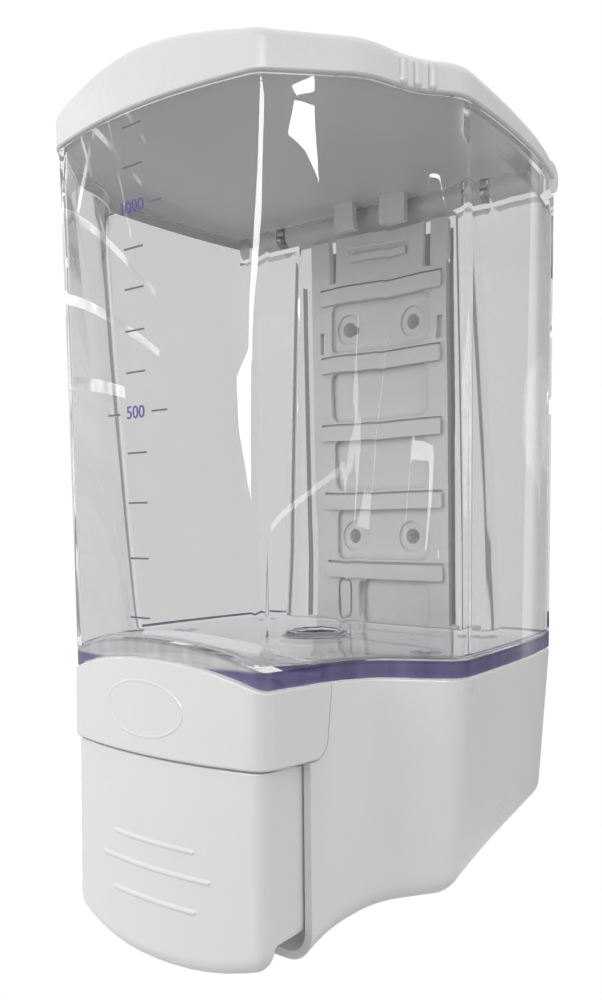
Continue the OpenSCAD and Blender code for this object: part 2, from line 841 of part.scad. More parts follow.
module front_hood() {
    boss_y = flange_y + seat_gap;
    boss_z = seam_z - hood_screw_drop;
    color("white")
        difference() {
            union() {
                difference() {
                    nose_block(-hood_proud, -seat_gap, hood_z);
                    nose_block(hood_in, -seat_gap - hood_t, hood_z - 1);
                    // The roof ends at the housing's beam, the sides run on to hood_y
                    block([-seam_cheek_w / 2, -flange_y - seat_gap, hood_z - 1],
                          [seam_cheek_w / 2, -hood_y + 1, seam_z + 1]);
                }
                difference() {
                    hood_sides();
                    loft([flat_ring(seam_half, hood_in, hood_z - 1),
                          flat_ring(seam_half, hood_in, seam_z + 1)]);
                }
                // Blank oval with a raised lip
                intersection() {
                    difference() {
                        ellipse_prism(oval_w, oval_h);
                        ellipse_prism(oval_w - 2 * oval_line, oval_h - 2 * oval_line);
                        loft([flat_ring(seam_half, 0, hood_z - 1),
                              flat_ring(seam_half, 0, seam_z + far / 2)]);
                    }
                    loft([flat_ring(seam_half, -hood_proud - oval_lip, hood_z),
                          flat_ring(seam_half, -hood_proud - oval_lip, seam_z + arch_h)]);
                }
                // Screw bosses hung from the roof
                left_and_right() {
                    translate([hood_screw_x, -boss_y, boss_z])
                        rotate([90, 0, 0]) cylinder(h = hood_boss_h, r = hood_boss_r);
                    block([hood_screw_x - 1, -boss_y - hood_boss_h, boss_z],
                          [hood_screw_x + 1, -boss_y, seam_z + arch(hood_screw_x + 1) - hood_t]);
                }
            }
            left_and_right()
                translate([hood_screw_x, -boss_y + 1, boss_z])
                    rotate([90, 0, 0]) cylinder(h = hood_boss_h - 1, r = hood_screw_r + run_gap);
        }
}

// Sides of the hood behind the beam, with a rounded lower rear corner
module hood_sides() {
    r = 5;
    intersection() {
        loft([flat_ring(seam_half, -hood_proud, hood_z),
              flat_ring(seam_half, -hood_proud, seam_z - seat_gap)]);
        translate([far / 2, 0, 0])
            rotate([90, 0, -90])
                linear_extrude(far)
                    union() {
                        translate([hood_y + r, hood_z]) square([flange_y - hood_y - r + 1, r]);
                        translate([hood_y, hood_z + r])
                            square([flange_y - hood_y + 1, hood_h - r]);
                        translate([hood_y + r, hood_z + r]) circle(r);
                    }
    }
}

module hood_screws() {
    color("silver")
        left_and_right()
            translate([hood_screw_x, -flange_y + beam_t, seam_z - hood_screw_drop]) {
                rotate([-90, 0, 0]) cylinder(h = 1.6, r = 2);
                rotate([90, 0, 0])
                    cylinder(h = beam_t + seat_gap + hood_boss_h - hood_screw_spare, r = hood_screw_r);
            }
}

// ---- Push lever ----

nub_r = 2;
nub_z = seam_z - collar_drop - collar_t - lift_gap - nub_r;
arm_x = [7.4, 11.4];
arm_y = seam_d - 2.2;      // where the arms start inside the lever's front
lever_gap = 0.3;           // how far the lever's front lies inside the body's outline
rib_out = 0.45;            // how far the finger ribs stand out
rib_r = 0.65;              // radius of the finger ribs' ends
ribs = [[19.9, 13.6], [26, 18], [33.4, 13.9]];         // drop below the hood, half length

// Height of the lever's underside: bowed up at the sides and rising to the rear
function lever_low(x, y) =
    seam_z - lever_drop + 4 * pow(2 * abs(x) / lever_w, 2.5) + 0.2 * (y + seam_d);

function lever_rings(skin, top) =
    let (r = max(1, lever_edge_r - skin))
    concat(
        [
            for (a = [90, 60, 30, 0])
                [
                    for (p = outline(lever_half, lever_gap + skin + r * (1 - cos(a))))
                        [p.x, p.y, lever_low(p.x, p.y) + skin + r * (1 - sin(a))]
                ]
        ],
        [flat_ring(lever_half, lever_gap + skin, top)]
    );

// Side view of the lever: the lower lip, and the side walls behind it
module lever_profile() {
    lip_y = seam_d - nose_bow - lip_d;
    r = 5;
    low = seam_z - cheek_drop;
    high = beam_low - 3;
    translate([far / 2, 0, 0])
        rotate([90, 0, -90])
            linear_extrude(far)
                union() {
                    translate([lip_y, seam_z - far / 2]) square([far, far / 2]);
                    translate([lever_back_y + r, low]) square([lip_y - lever_back_y - r + 1, r]);
                    translate([lever_back_y, low + r])
                        square([lip_y - lever_back_y + 1, high - low - r]);
                    translate([lever_back_y + r, low + r]) circle(r);
                    translate([flange_y + 2, low + r]) square([far, seam_z - low - r]);
                }
}

// Three raised ribs with round ends across the lever's front
module finger_ribs() {
    inset = lever_gap - rib_out;
    intersection() {
        for (rib = ribs)
            translate([0, -seam_d + nose_bow + 1, hood_z - rib[0]])
                rotate([90, 0, 0])
                    linear_extrude(far) {
                        square([2 * (rib[1] - rib_r), 2 * rib_r], center = true);
                        for (s = [-1, 1]) translate([s * (rib[1] - rib_r), 0]) circle(r = rib_r);
                    }
        loft([flat_ring(lever_half, inset, seam_z - lever_drop), flat_ring(lever_half, inset, hood_z)]);
    }
}

module push_lever() {
    lip_z = hood_z - 0.5;
    lip_high = seam_z - 13.4;
    lip_inset = hood_in + 0.5;
    color("white")
        difference() {
            union() {
                difference() {
                    intersection() {
                        union() {
                            loft(lever_rings(0, lip_z));
                            loft([flat_ring(lever_half, lip_inset, lip_z - 3),
                                  flat_ring(lever_half, lip_inset, lip_high)]);
                        }
                        lever_profile();
                    }
                    loft(lever_rings(lever_t, lip_high + 1));
                }
                finger_ribs();
                // Bearing ears
                left_and_right() {
                    rod_x(lever_ear_x[0], lever_ear_x[1], -pivot_y, pivot_z, ear_r);
                    block([lever_ear_x[0], -pivot_y - ear_r, lip_z - 6],
                          [lever_ear_x[1], -pivot_y + ear_r, pivot_z]);
                    block([lever_ear_x[0], -seam_d + nose_bow + 0.6, lip_z - 6],
                          [lever_ear_x[1], -pivot_y, lip_high]);
                }
                // Fork that lifts the pump's collar
                left_and_right() {
                    block([arm_x[0], -arm_y, nub_z - nub_r - 1],
                          [arm_x[1], -pump_y + nub_r - 0.5, nub_z + nub_r / 2]);
                    rod_x(arm_x[0], arm_x[1], -pump_y, nub_z, nub_r);
                    block([arm_x[0] + 1, -arm_y, nub_z - nub_r - 7],
                          [arm_x[0] + 3, -flange_y + 10, nub_z - nub_r - 1 + eps]);
                }
            }
            left_and_right()
                rod_x(lever_ear_x[0] - 1, lever_ear_x[1] + 1, -pivot_y, pivot_z,
                      pivot_r + run_gap);
        }
}

module lever_pivot_pin() {
    color("silver")
        rod_x(-pivot_h / 2, pivot_h / 2, -pivot_y, pivot_z, pivot_r);
}

// ---- Pump ----

gasket_z = seam_z - spout_h - gasket_t;
flange_t = 2;
flange_z = gasket_z - flange_t;
cylinder_low = flange_z - cylinder_h;
nut_t = 2.4;
nut_r = spout_r + 3;
nut_h = nut_t + flange_t + gasket_t + spout_h - 1.5;
inlet_r = 1.2;

module at_pump(z) {
    translate([0, -pump_y, z]) children();
}

module ring_z(h, outer, inner) {
    difference() {
        cylinder(h = h, r = outer);
        translate([0, 0, -1]) cylinder(h = h + 2, r = inner);
    }
}

module pump_gasket() {
    color([0.25, 0.25, 0.27])
        at_pump(gasket_z) ring_z(gasket_t, spout_r - 0.2, outlet_r);
}

module pump_body() {
    color([0.92, 0.92, 0.94])
        at_pump(flange_z)
            difference() {
                union() {
                    cylinder(h = flange_t, r = spout_r - 0.2);
                    translate([0, 0, -cylinder_h]) cylinder(h = cylinder_h + 1, r = barrel_out_r);
                }
                translate([0, 0, -cylinder_h - 1]) cylinder(h = cylinder_h + 1, r = bore_r);
                for (i = [0 : 5])
                    rotate([0, 0, 60 * i])
                        translate([3.4, 0, -1]) cylinder(h = flange_t + 2, r = inlet_r);
                translate([0, 0, -1]) cylinder(h = flange_t + 2, r = inlet_r);
            }
}

module pump_nut() {
    rib_n = 24;
    color("white")
        at_pump(flange_z - nut_t)
            difference() {
                union() {
                    cylinder(h = nut_h, r = nut_r - 0.5);
                    for (i = [0 : rib_n - 1])
                        rotate([0, 0, 360 / rib_n * i])
                            translate([nut_r - 0.9, -0.5, 0]) cube([0.9, 1, nut_h - 1.5]);
                }
                translate([0, 0, nut_t]) cylinder(h = far, r = spout_r + 0.2);
                translate([0, 0, -1]) cylinder(h = far, r = barrel_out_r + 0.3);
            }
}

module inlet_valve() {
    stalk_r = inlet_r - run_gap;
    color([0.85, 0.82, 0.78])
        at_pump(flange_z) {
            translate([0, 0, -0.9]) cylinder(h = 0.9, r = 5.4);
            translate([0, 0, -eps]) cylinder(h = flange_t + eps, r = stalk_r);
            translate([0, 0, flange_t]) cylinder(h = 0.8, r = stalk_r + 0.6);
        }
}

head_t = 3;
head_z = cylinder_low + 0.6;
nozzle_z = seam_z - nozzle_drop;
stem_low = nozzle_z + 4;

module plunger_stem() {
    color([0.92, 0.92, 0.94])
        at_pump(0)
            difference() {
                union() {
                    translate([0, 0, stem_low]) cylinder(h = head_z - stem_low + 1, r = stem_r);
                    translate([0, 0, head_z]) cylinder(h = head_t, r = bore_r - 0.3);
                    // Shoulder under the lift collar
                    translate([0, 0, seam_z - collar_drop - collar_t - 1.4])
                        cylinder(h = 1.2, r = stem_r + 0.9);
                }
                translate([0, 0, stem_low - 1]) cylinder(h = far, r = passage_r);
                // Groove of the piston seal
                translate([0, 0, head_z + 0.8]) ring_z(head_t - 1.6, bore_r + 1, bore_r - 1.2);
            }
}

module piston_seal() {
    color([0.2, 0.2, 0.22])
        at_pump(head_z + 0.85)
            ring_z(head_t - 1.7, bore_r - run_gap, bore_r - 1.1);
}

module lift_collar() {
    color("white")
        at_pump(seam_z - collar_drop - collar_t) {
            ring_z(collar_t, collar_r, stem_r + run_gap);
            // Raised lip that centres the spring
            translate([0, 0, collar_t - eps]) ring_z(1.2, collar_r, collar_r - 0.9);
        }
}

module outlet_valve() {
    color([0.85, 0.82, 0.78])
        at_pump(stem_low - 2.2)
            ring_z(2, stem_r, 0.6);
}

module nozzle() {
    color("white")
        at_pump(nozzle_z)
            difference() {
                union() {
                    cylinder(h = 8.6, r = stem_r + 1.4);
                    cylinder(h = 10, r = stem_r + 0.9);
                }
                translate([0, 0, 1.6]) cylinder(h = far, r = stem_r + run_gap);
                translate([0, 0, -1]) cylinder(h = far, r = passage_r);
            }
}

spring_high = flange_z - nut_t - wire_r - 0.1;
spring_low = seam_z - collar_drop + wire_r + 0.1;
spring_r = barrel_out_r + wire_r + 0.6;

// Coil swept along a helix, six-sided
module pump_spring() {
    sides = 6;
    per_turn = 16;
    n = ceil(spring_turns * per_turn);
    points = [
        for (k = [0 : n], j = [0 : sides - 1])
            let (
                a = 360 * spring_turns * k / n,
                b = 360 * j / sides,
                r = spring_r + wire_r * cos(b),
                z = spring_low + (spring_high - spring_low) * k / n + wire_r * sin(b)
            )
            [r * cos(a), r * sin(a), z]
    ];
    sides_faces = [
        for (k = [0 : n - 1], j = [0 : sides - 1])
            let (a = k * sides + j, b = k * sides + (j + 1) % sides)
            [a, b, b + sides, a + sides]
    ];
    color("silver")
        at_pump(0)
            polyhedron(
                points = points,
                faces = concat(
                    [[for (j = [sides - 1 : -1 : 0]) j]],
                    sides_faces,
                    [[for (j = [0 : sides - 1]) n * sides + j]]
                ),
                convexity = 8
            );
}

wall_bracket();
tank();
lid();
lid_hinge_pins();
base_housing();
base_screws();
front_hood();
hood_screws();
push_lever();
lever_pivot_pin();
pump_gasket();
pump_body();
pump_nut();
inlet_valve();
plunger_stem();
lift_collar();
piston_seal();
outlet_valve();
nozzle();
pump_spring();
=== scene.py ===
import bpy, bmesh, math
from mathutils import Matrix, Vector


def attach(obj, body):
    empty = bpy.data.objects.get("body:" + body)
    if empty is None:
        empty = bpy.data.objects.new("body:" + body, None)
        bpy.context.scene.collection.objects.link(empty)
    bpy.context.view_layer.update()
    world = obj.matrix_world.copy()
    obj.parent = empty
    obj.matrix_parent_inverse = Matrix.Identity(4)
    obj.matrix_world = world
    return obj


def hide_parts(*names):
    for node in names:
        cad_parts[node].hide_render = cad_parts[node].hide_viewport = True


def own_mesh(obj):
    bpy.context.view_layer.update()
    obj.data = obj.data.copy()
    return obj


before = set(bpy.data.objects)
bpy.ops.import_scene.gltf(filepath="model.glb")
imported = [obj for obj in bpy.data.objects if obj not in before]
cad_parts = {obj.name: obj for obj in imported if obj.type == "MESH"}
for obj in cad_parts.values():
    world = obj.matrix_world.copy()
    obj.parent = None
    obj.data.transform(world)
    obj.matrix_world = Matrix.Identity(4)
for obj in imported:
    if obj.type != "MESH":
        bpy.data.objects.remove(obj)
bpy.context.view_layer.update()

mm = 0.001
slack = 0.05      # millimetres that fuse or clear two cut shapes
far = 200.0       # longer than any cut needs

# Half outlines from the middle of the nose to the wall: x, y, softness of the corner
body = {
    "lidZ": 67.4, "seamZ": -64.8, "noseHalf": 31.3, "archRise": 5.5, "archBack": -82.0,
    "archFade": 10.0, "archPower": 2.3, "frontZone": -100.0,
    "lidHalf": [(0, -114.46, 28), (33.5, -107.5, 4.5), (50.7, -90.5, 4.5), (54.8, -77.5, 4.5),
                (62.5, -68.9, 4.5), (62.7, -46.852, 12), (60.65, -22.737, 9), (56.4, -2.6, 2)],
    "seamHalf": [(0, -111.36, 26), (31.3, -104.4, 3.5), (35, -84, 4), (40.5, -74.5, 4.5),
                 (58.6, -65.2, 4.5), (58, -44.336, 12), (56, -21.516, 9), (53, -2.6, 2)],
    "crisp": 2.6, "cornerSteps": 10, "stretchSteps": 4,
}
lidZ, seamZ, lidHalf, seamHalf = (body[key] for key in ("lidZ", "seamZ", "lidHalf", "seamHalf"))


# Outlines, in millimetres

def softCorner(a, b, c, inset, steps):
    a, c, soft = Vector(a[:2]), Vector(c[:2]), b[2]
    b = Vector(b[:2])
    come, go = (b - a).normalized(), (c - b).normalized()
    turn = 1 + come.dot(go)
    tip = b + Vector((-come.y - go.y, come.x + go.x)) / turn * inset
    bend = (come.x * go.y - come.y * go.x) / turn
    reach = max(0.3, soft - inset * bend)
    start, end = tip - come * reach, tip + go * reach
    return [start * (1 - s) ** 2 + tip * 2 * s * (1 - s) + end * s * s
            for s in (k / steps for k in range(steps + 1))]


def outline(half, inset):
    # Closed loop from the middle of the nose, the same on the left and right
    steps, extra = body["cornerSteps"], body["stretchSteps"]
    keys = list(half) + [(-x, y, soft) for x, y, soft in reversed(half[1:])]
    n = len(keys)
    corners = [softCorner(keys[i - 1], keys[i], keys[(i + 1) % n], inset, steps) for i in range(n)]
    points = []
    for i, corner in enumerate(corners):
        points += corner
        to = corners[(i + 1) % n][0]
        points += [corner[-1].lerp(to, (k + 1) / (extra + 1)) for k in range(extra)]
    middle = steps // 2
    return points[middle:] + points[:middle]


def mixHalf(z):
    t = (z - seamZ) / (lidZ - seamZ)
    return [tuple(a + t * (b - a) for a, b in zip(low, high))
            for low, high in zip(seamHalf, lidHalf)]


def crisp(half):
    # The same outline with the tighter nose corner of the clear tank and the lid
    x, y, soft = half[1]
    return [half[0], (x, y, min(soft, body["crisp"]))] + half[2:]


def ring(half, inset, z):
    # z is a height, or gives one for each x, y
    at = z if callable(z) else (lambda x, y: z)
    return [Vector((p.x, p.y, at(p.x, p.y))) for p in outline(half, inset)]


def frontY(half, inset, x):
    # Depth of an outline's front at x
    points = [p for p in outline(half, inset) if p.y < body["frontZone"]]
    points.sort(key=lambda p: p.x)
    for a, b in zip(points, points[1:]):
        if a.x <= x <= b.x and b.x > a.x:
            return a.y + (b.y - a.y) * (x - a.x) / (b.x - a.x)
    return points[0].y


def archLift(x, y):
    # Height of the arch in the seam under the nose, fading out towards the back
    rise = max(0.0, 1 - (abs(x) / body["noseHalf"]) ** body["archPower"])
    t = min(1.0, max(0.0, (body["archBack"] - y) / body["archFade"]))
    return body["archRise"] * rise * t * t * (3 - 2 * t)


def arc(radius, steps):
    # Quarter round: how far in and how far up from a sharp edge
    turns = [math.pi / 2 * k / steps for k in range(steps + 1)]
    return [(radius * (1 - math.sin(a)), radius * (1 - math.cos(a))) for a in turns]


# Shapes, written in millimetres and made in metres

def newObject(name, data):
    obj = bpy.data.objects.new(name, data)
    bpy.context.scene.collection.objects.link(obj)
    return obj


def meshObject(name, bm):
    mesh = bpy.data.meshes.new(name)
    bm.to_mesh(mesh)
    bm.free()
    return newObject(name, mesh)


def ladder(bm, loop, shape, flip, across=26):
    # Closes a loop with rows from left to right whose height follows shape(x, y)
    n = len(loop)
    back = loop[n // 2].co.y - 0.03 * mm    # the straight stretch at the wall is one face
    rungs = next(i for i in range(1, n // 2) if loop[i].co.y > back) - 1
    rows = []
    for i in range(1, rungs + 1):
        left, right = loop[n - i], loop[i]
        row = [left]
        for k in range(1, across):
            p = left.co.lerp(right.co, k / across)
            if shape:
                p.z = shape(p.x / mm, p.y / mm) * mm
            row.append(bm.verts.new(p))
        rows.append(row + [right])

    def face(corners):
        bm.faces.new(corners[::-1] if flip else corners)

    for k in range(across):
        face([loop[0], rows[0][k + 1], rows[0][k]])
    for near, behind in zip(rows, rows[1:]):
        for k in range(across):
            face([near[k], near[k + 1], behind[k + 1], behind[k]])
    face(rows[-1] + [loop[i] for i in range(rungs + 1, n - rungs)])


def loft(rings, lowShape=None, highShape=None, flatEnds=False, name="loft"):
    bm = bmesh.new()
    loops = [[bm.verts.new(p * mm) for p in points] for points in rings]
    n = len(loops[0])
    for low, high in zip(loops, loops[1:]):
        for i in range(n):
            j = (i + 1) % n
            bm.faces.new((low[i], low[j], high[j], high[i]))
    if flatEnds:
        bm.faces.new(loops[0][::-1])
        bm.faces.new(loops[-1])
    else:
        ladder(bm, loops[0], lowShape, True)
        ladder(bm, loops[-1], highShape, False)
    bmesh.ops.recalc_face_normals(bm, faces=bm.faces)
    return meshObject(name, bm)


def straight(half, inset, low, high):
    return loft([ring(half, inset, low), ring(half, inset, high)], flatEnds=True)


def block(low, high):
    bm = bmesh.new()
    size = [(b - a) * mm for a, b in zip(low, high)]
    centre = Vector([(a + b) / 2 * mm for a, b in zip(low, high)])
    bmesh.ops.create_cube(bm, size=1,
                          matrix=Matrix.Translation(centre) @ Matrix.Diagonal((*size, 1)))
    return meshObject("block", bm)


def rod(start, end, radius, segments):
    start, end = Vector(start) * mm, Vector(end) * mm
    bm = bmesh.new()
    turn = (end - start).to_track_quat("Z", "Y").to_matrix().to_4x4()
    bmesh.ops.create_cone(bm, cap_ends=True, segments=segments, radius1=radius * mm,
                          radius2=radius * mm, depth=(end - start).length,
                          matrix=Matrix.Translation((start + end) / 2) @ turn)
    return meshObject("rod", bm)


def rodX(x0, x1, y, z, radius, segments=64):
    return rod((x0, y, z), (x1, y, z), radius, segments)


def rodY(y0, y1, x, z, radius, segments=64):
    return rod((x, y0, z), (x, y1, z), radius, segments)


def rodZ(z0, z1, x, y, radius, segments=96):
    return rod((x, y, z0), (x, y, z1), radius, segments)


def wrapRows(bm, rows, sides):
    # Faces between rows of points round an axis, where a row of one point is a pole
    for low, high in zip(rows, rows[1:]):
        for k in range(sides):
            j = (k + 1) % sides
            corners = [low[k % len(low)], low[j % len(low)], high[j % len(high)],
                       high[k % len(high)]]
            bm.faces.new(list(dict.fromkeys(corners)))
    bmesh.ops.recalc_face_normals(bm, faces=bm.faces)


def turned(profile, x, y, name, sides=96):
    # Round solid from (radius, z) pairs that run from the axis to the axis
    bm = bmesh.new()
    rows = []
    for r, z in profile:
        turns = [2 * math.pi * k / sides for k in range(sides if r > 0 else 1)]
        rows.append([bm.verts.new(Vector((x + r * math.cos(a), y + r * math.sin(a), z)) * mm)
                     for a in turns])
    wrapRows(bm, rows, sides)
    return meshObject(name, bm)


def prism(profile, along, start, end, name="prism"):
    # along "x": profile of (y, z); along "y": profile of (x, z)
    def point(a, b, at):
        return Vector((at, a, b)) if along == "x" else Vector((a, at, b))

    bm = bmesh.new()
    sides = [[bm.verts.new(point(a, b, at) * mm) for a, b in profile] for at in (start, end)]
    bm.faces.new(sides[0][::-1])
    bm.faces.new(sides[1])
    n = len(profile)
    for i in range(n):
        j = (i + 1) % n
        bm.faces.new((sides[0][i], sides[0][j], sides[1][j], sides[1][i]))
    bmesh.ops.recalc_face_normals(bm, faces=bm.faces)
    return meshObject(name, bm)


def rounded(corners, steps):
    # Polygon of (a, b, radius) corners with round corners
    points = []
    n = len(corners)
    for i in range(n):
        a, b, c = corners[i - 1], corners[i], corners[(i + 1) % n]
        at = Vector(b[:2])
        come, go = (at - Vector(a[:2])).normalized(), (Vector(c[:2]) - at).normalized()
        if b[2] <= 0:
            points.append(tuple(at))
            continue
        turn = math.acos(max(-1, min(1, come.dot(go))))
        reach = b[2] * math.tan(turn / 2)
        side = 1 if come.x * go.y - come.y * go.x > 0 else -1
        centre = at - come * reach + Vector((-come.y, come.x)) * side * b[2]
        first = at - come * reach - centre
        for k in range(steps + 1):
            points.append(tuple(centre + Matrix.Rotation(side * turn * k / steps, 2) @ first))
    return points


def plainMesh(obj):
    graph = bpy.context.evaluated_depsgraph_get()
    return bpy.data.meshes.new_from_object(obj.evaluated_get(graph), depsgraph=graph)


def settle(obj):
    # Applies the modifiers
    mesh = plainMesh(obj)
    obj.modifiers.clear()
    old, obj.data = obj.data, mesh
    mesh.name = obj.name
    bpy.data.meshes.remove(old)
    return obj


def carve(target, cutter, how="DIFFERENCE"):
    cut = target.modifiers.new("cut", "BOOLEAN")
    cut.operation = how
    cut.solver = "EXACT"
    cut.object = cutter
    settle(target)
    bpy.data.objects.remove(cutter)
    return target


def fuse(target, *others):
    for other in others:
        carve(target, other, "UNION")
    return target


def keep(target, other):
    return carve(target, other, "INTERSECT")


def mirrored(x0, x1, side):
    return (x0, x1) if side > 0 else (-x1, -x0)


def sideBlock(side, low, high):
    x0, x1 = mirrored(low[0], high[0], side)
    return block((x0, low[1], low[2]), (x1, high[1], high[2]))


def sideRod(side, x0, x1, y, z, radius, segments):
    return rodX(*mirrored(x0, x1, side), y, z, radius, segments)


def roundEdges(obj, width, angle, segments=2):
    # Cleans flat areas, rounds the sharp edges a little and shades by angle
    bm = bmesh.new()
    bm.from_mesh(obj.data)
    bmesh.ops.remove_doubles(bm, verts=bm.verts, dist=0.004 * mm)
    bmesh.ops.dissolve_degenerate(bm, edges=bm.edges, dist=0.004 * mm)
    bmesh.ops.dissolve_limit(bm, angle_limit=math.radians(0.3), verts=bm.verts, edges=bm.edges)
    bm.to_mesh(obj.data)
    bm.free()
    if width:
        bevel = obj.modifiers.new("bevel", "BEVEL")
        bevel.width = width * mm
        bevel.segments = segments
        bevel.limit_method = "ANGLE"
        bevel.angle_limit = math.radians(angle)
        settle(obj)
    obj.data.polygons.foreach_set("use_smooth", [True] * len(obj.data.polygons))
    obj.data.set_sharp_from_angle(angle=math.radians(angle))
    weigh = obj.modifiers.new("weigh", "WEIGHTED_NORMAL")    # flat areas keep their shading
    weigh.keep_sharp = True
    return settle(obj)


# Geometry node trees

class Tree:
    # A geometry node tree with named inputs
    def __init__(self, name, inputs):
        self.group = bpy.data.node_groups.new(name, "GeometryNodeTree")
        self.inputs = {}
        face = self.group.interface
        face.new_socket("Geometry", in_out="INPUT", socket_type="NodeSocketGeometry")
        for label, kind in inputs.items():
            item = face.new_socket(label, in_out="INPUT", socket_type="NodeSocket" + kind)
            self.inputs[label] = item.identifier
        face.new_socket("Geometry", in_out="OUTPUT", socket_type="NodeSocketGeometry")
        self.start = self.group.nodes.new("NodeGroupInput")

    def given(self, label="Geometry"):
        return self.start.outputs[label]

    def add(self, kind, settings=None, values=None, out=0):
        node = self.group.nodes.new(kind)
        for key, value in (settings or {}).items():
            setattr(node, key, value)
        for key, value in (values or {}).items():
            if hasattr(value, "is_linked"):
                self.group.links.new(value, node.inputs[key])
            else:
                node.inputs[key].default_value = value
        return node.outputs[out]

    def maths(self, how, a, b):
        return self.add("ShaderNodeMath", {"operation": how}, {0: a, 1: b})

    def vector(self, x=0.0, y=0.0, z=0.0):
        return self.add("ShaderNodeCombineXYZ", None, {0: x, 1: y, 2: z})

    def join(self, *parts):
        node = self.group.nodes.new("GeometryNodeJoinGeometry")
        for part in parts:
            self.group.links.new(part, node.inputs[0])
        return node.outputs[0]

    def finish(self, geometry):
        real = self.add("GeometryNodeRealizeInstances", None, {0: geometry})
        skin = self.add("GeometryNodeSetMaterial", None,
                        {"Geometry": real, "Material": self.given("Material")})
        end = self.group.nodes.new("NodeGroupOutput")
        self.group.links.new(skin, end.inputs[0])
        return self

    def make(self, name, values, spots=(), chained=False):
        # A plain mesh from the points that the tree starts from; chained ones are a path
        bm = bmesh.new()
        verts = [bm.verts.new(Vector(p) * mm) for p in spots]
        if chained:
            for a, b in zip(verts, verts[1:]):
                bm.edges.new((a, b))
        obj = meshObject(name, bm)
        modifier = obj.modifiers.new("nodes", "NODES")
        modifier.node_group = self.group
        for label, value in values.items():
            modifier[self.inputs[label]] = value
        return welded(settle(obj))


def welded(obj):
    bm = bmesh.new()
    bm.from_mesh(obj.data)
    bmesh.ops.remove_doubles(bm, verts=bm.verts, dist=0.002 * mm)
    bmesh.ops.recalc_face_normals(bm, faces=bm.faces)
    bm.to_mesh(obj.data)
    bm.free()
    return obj


def slabRowTree():
    # Rounded slabs at an even pitch down a line, drawn out along Y
    t = Tree("slabRow", {"Width": "Float", "Height": "Float", "Depth": "Float", "Corner": "Float",
                         "Count": "Int", "Pitch": "Float", "First": "Vector",
                         "Material": "Material"})
    card = t.add("GeometryNodeCurvePrimitiveQuadrilateral", None,
                 {"Width": t.given("Width"), "Height": t.given("Height")})
    card = t.add("GeometryNodeFilletCurve", {"mode": "POLY"},
                 {"Curve": card, "Radius": t.given("Corner"), "Count": 6})
    sheet = t.add("GeometryNodeFillCurve", None, {"Curve": card})
    thick = t.add("GeometryNodeExtrudeMesh", None,
                  {"Mesh": sheet, "Offset Scale": t.given("Depth"), "Individual": False})
    under = t.add("GeometryNodeFlipFaces", None, {"Mesh": sheet})
    slab = t.add("GeometryNodeTransform", None, {
        "Geometry": t.join(thick, under), "Rotation": (math.pi / 2, 0, 0)})
    line = t.add("GeometryNodeMeshLine", None, {
        "Count": t.given("Count"), "Start Location": t.given("First"),
        "Offset": t.vector(z=t.maths("MULTIPLY", t.given("Pitch"), -1.0))})
    row = t.add("GeometryNodeInstanceOnPoints", None, {"Points": line, "Instance": slab})
    return t.finish(row)


def capsuleTree():
    # An upright capsule on each given point
    t = Tree("capsules", {"Radius": "Float", "Length": "Float", "Material": "Material"})
    ball = t.add("GeometryNodeMeshUVSphere", None,
                 {"Segments": 32, "Rings": 16, "Radius": t.given("Radius")})
    height = t.add("ShaderNodeSeparateXYZ", None,
                   {0: t.add("GeometryNodeInputPosition")}, out=2)
    lift = t.maths("MULTIPLY", t.add("ShaderNodeMath", {"operation": "SIGN"}, {0: height}),
                   t.maths("MULTIPLY", t.given("Length"), 0.5))
    capsule = t.add("GeometryNodeSetPosition", None,
                    {"Geometry": ball, "Offset": t.vector(z=lift)})
    row = t.add("GeometryNodeInstanceOnPoints", None,
                {"Points": t.given(), "Instance": capsule})
    return t.finish(row)


def tubeTree():
    # A round bar along a chain of points
    t = Tree("tube", {"Radius": "Float", "Sides": "Int", "Closed": "Bool",
                      "Material": "Material"})
    path = t.add("GeometryNodeMeshToCurve", None, {"Mesh": t.given()})
    path = t.add("GeometryNodeSetSplineCyclic", None,
                 {"Geometry": path, "Cyclic": t.given("Closed")})
    girth = t.add("GeometryNodeCurvePrimitiveCircle", {"mode": "RADIUS"},
                  {"Resolution": t.given("Sides"), "Radius": t.given("Radius")})
    bar = t.add("GeometryNodeCurveToMesh", None,
                {"Curve": path, "Profile Curve": girth, "Fill Caps": True})
    return t.finish(bar)


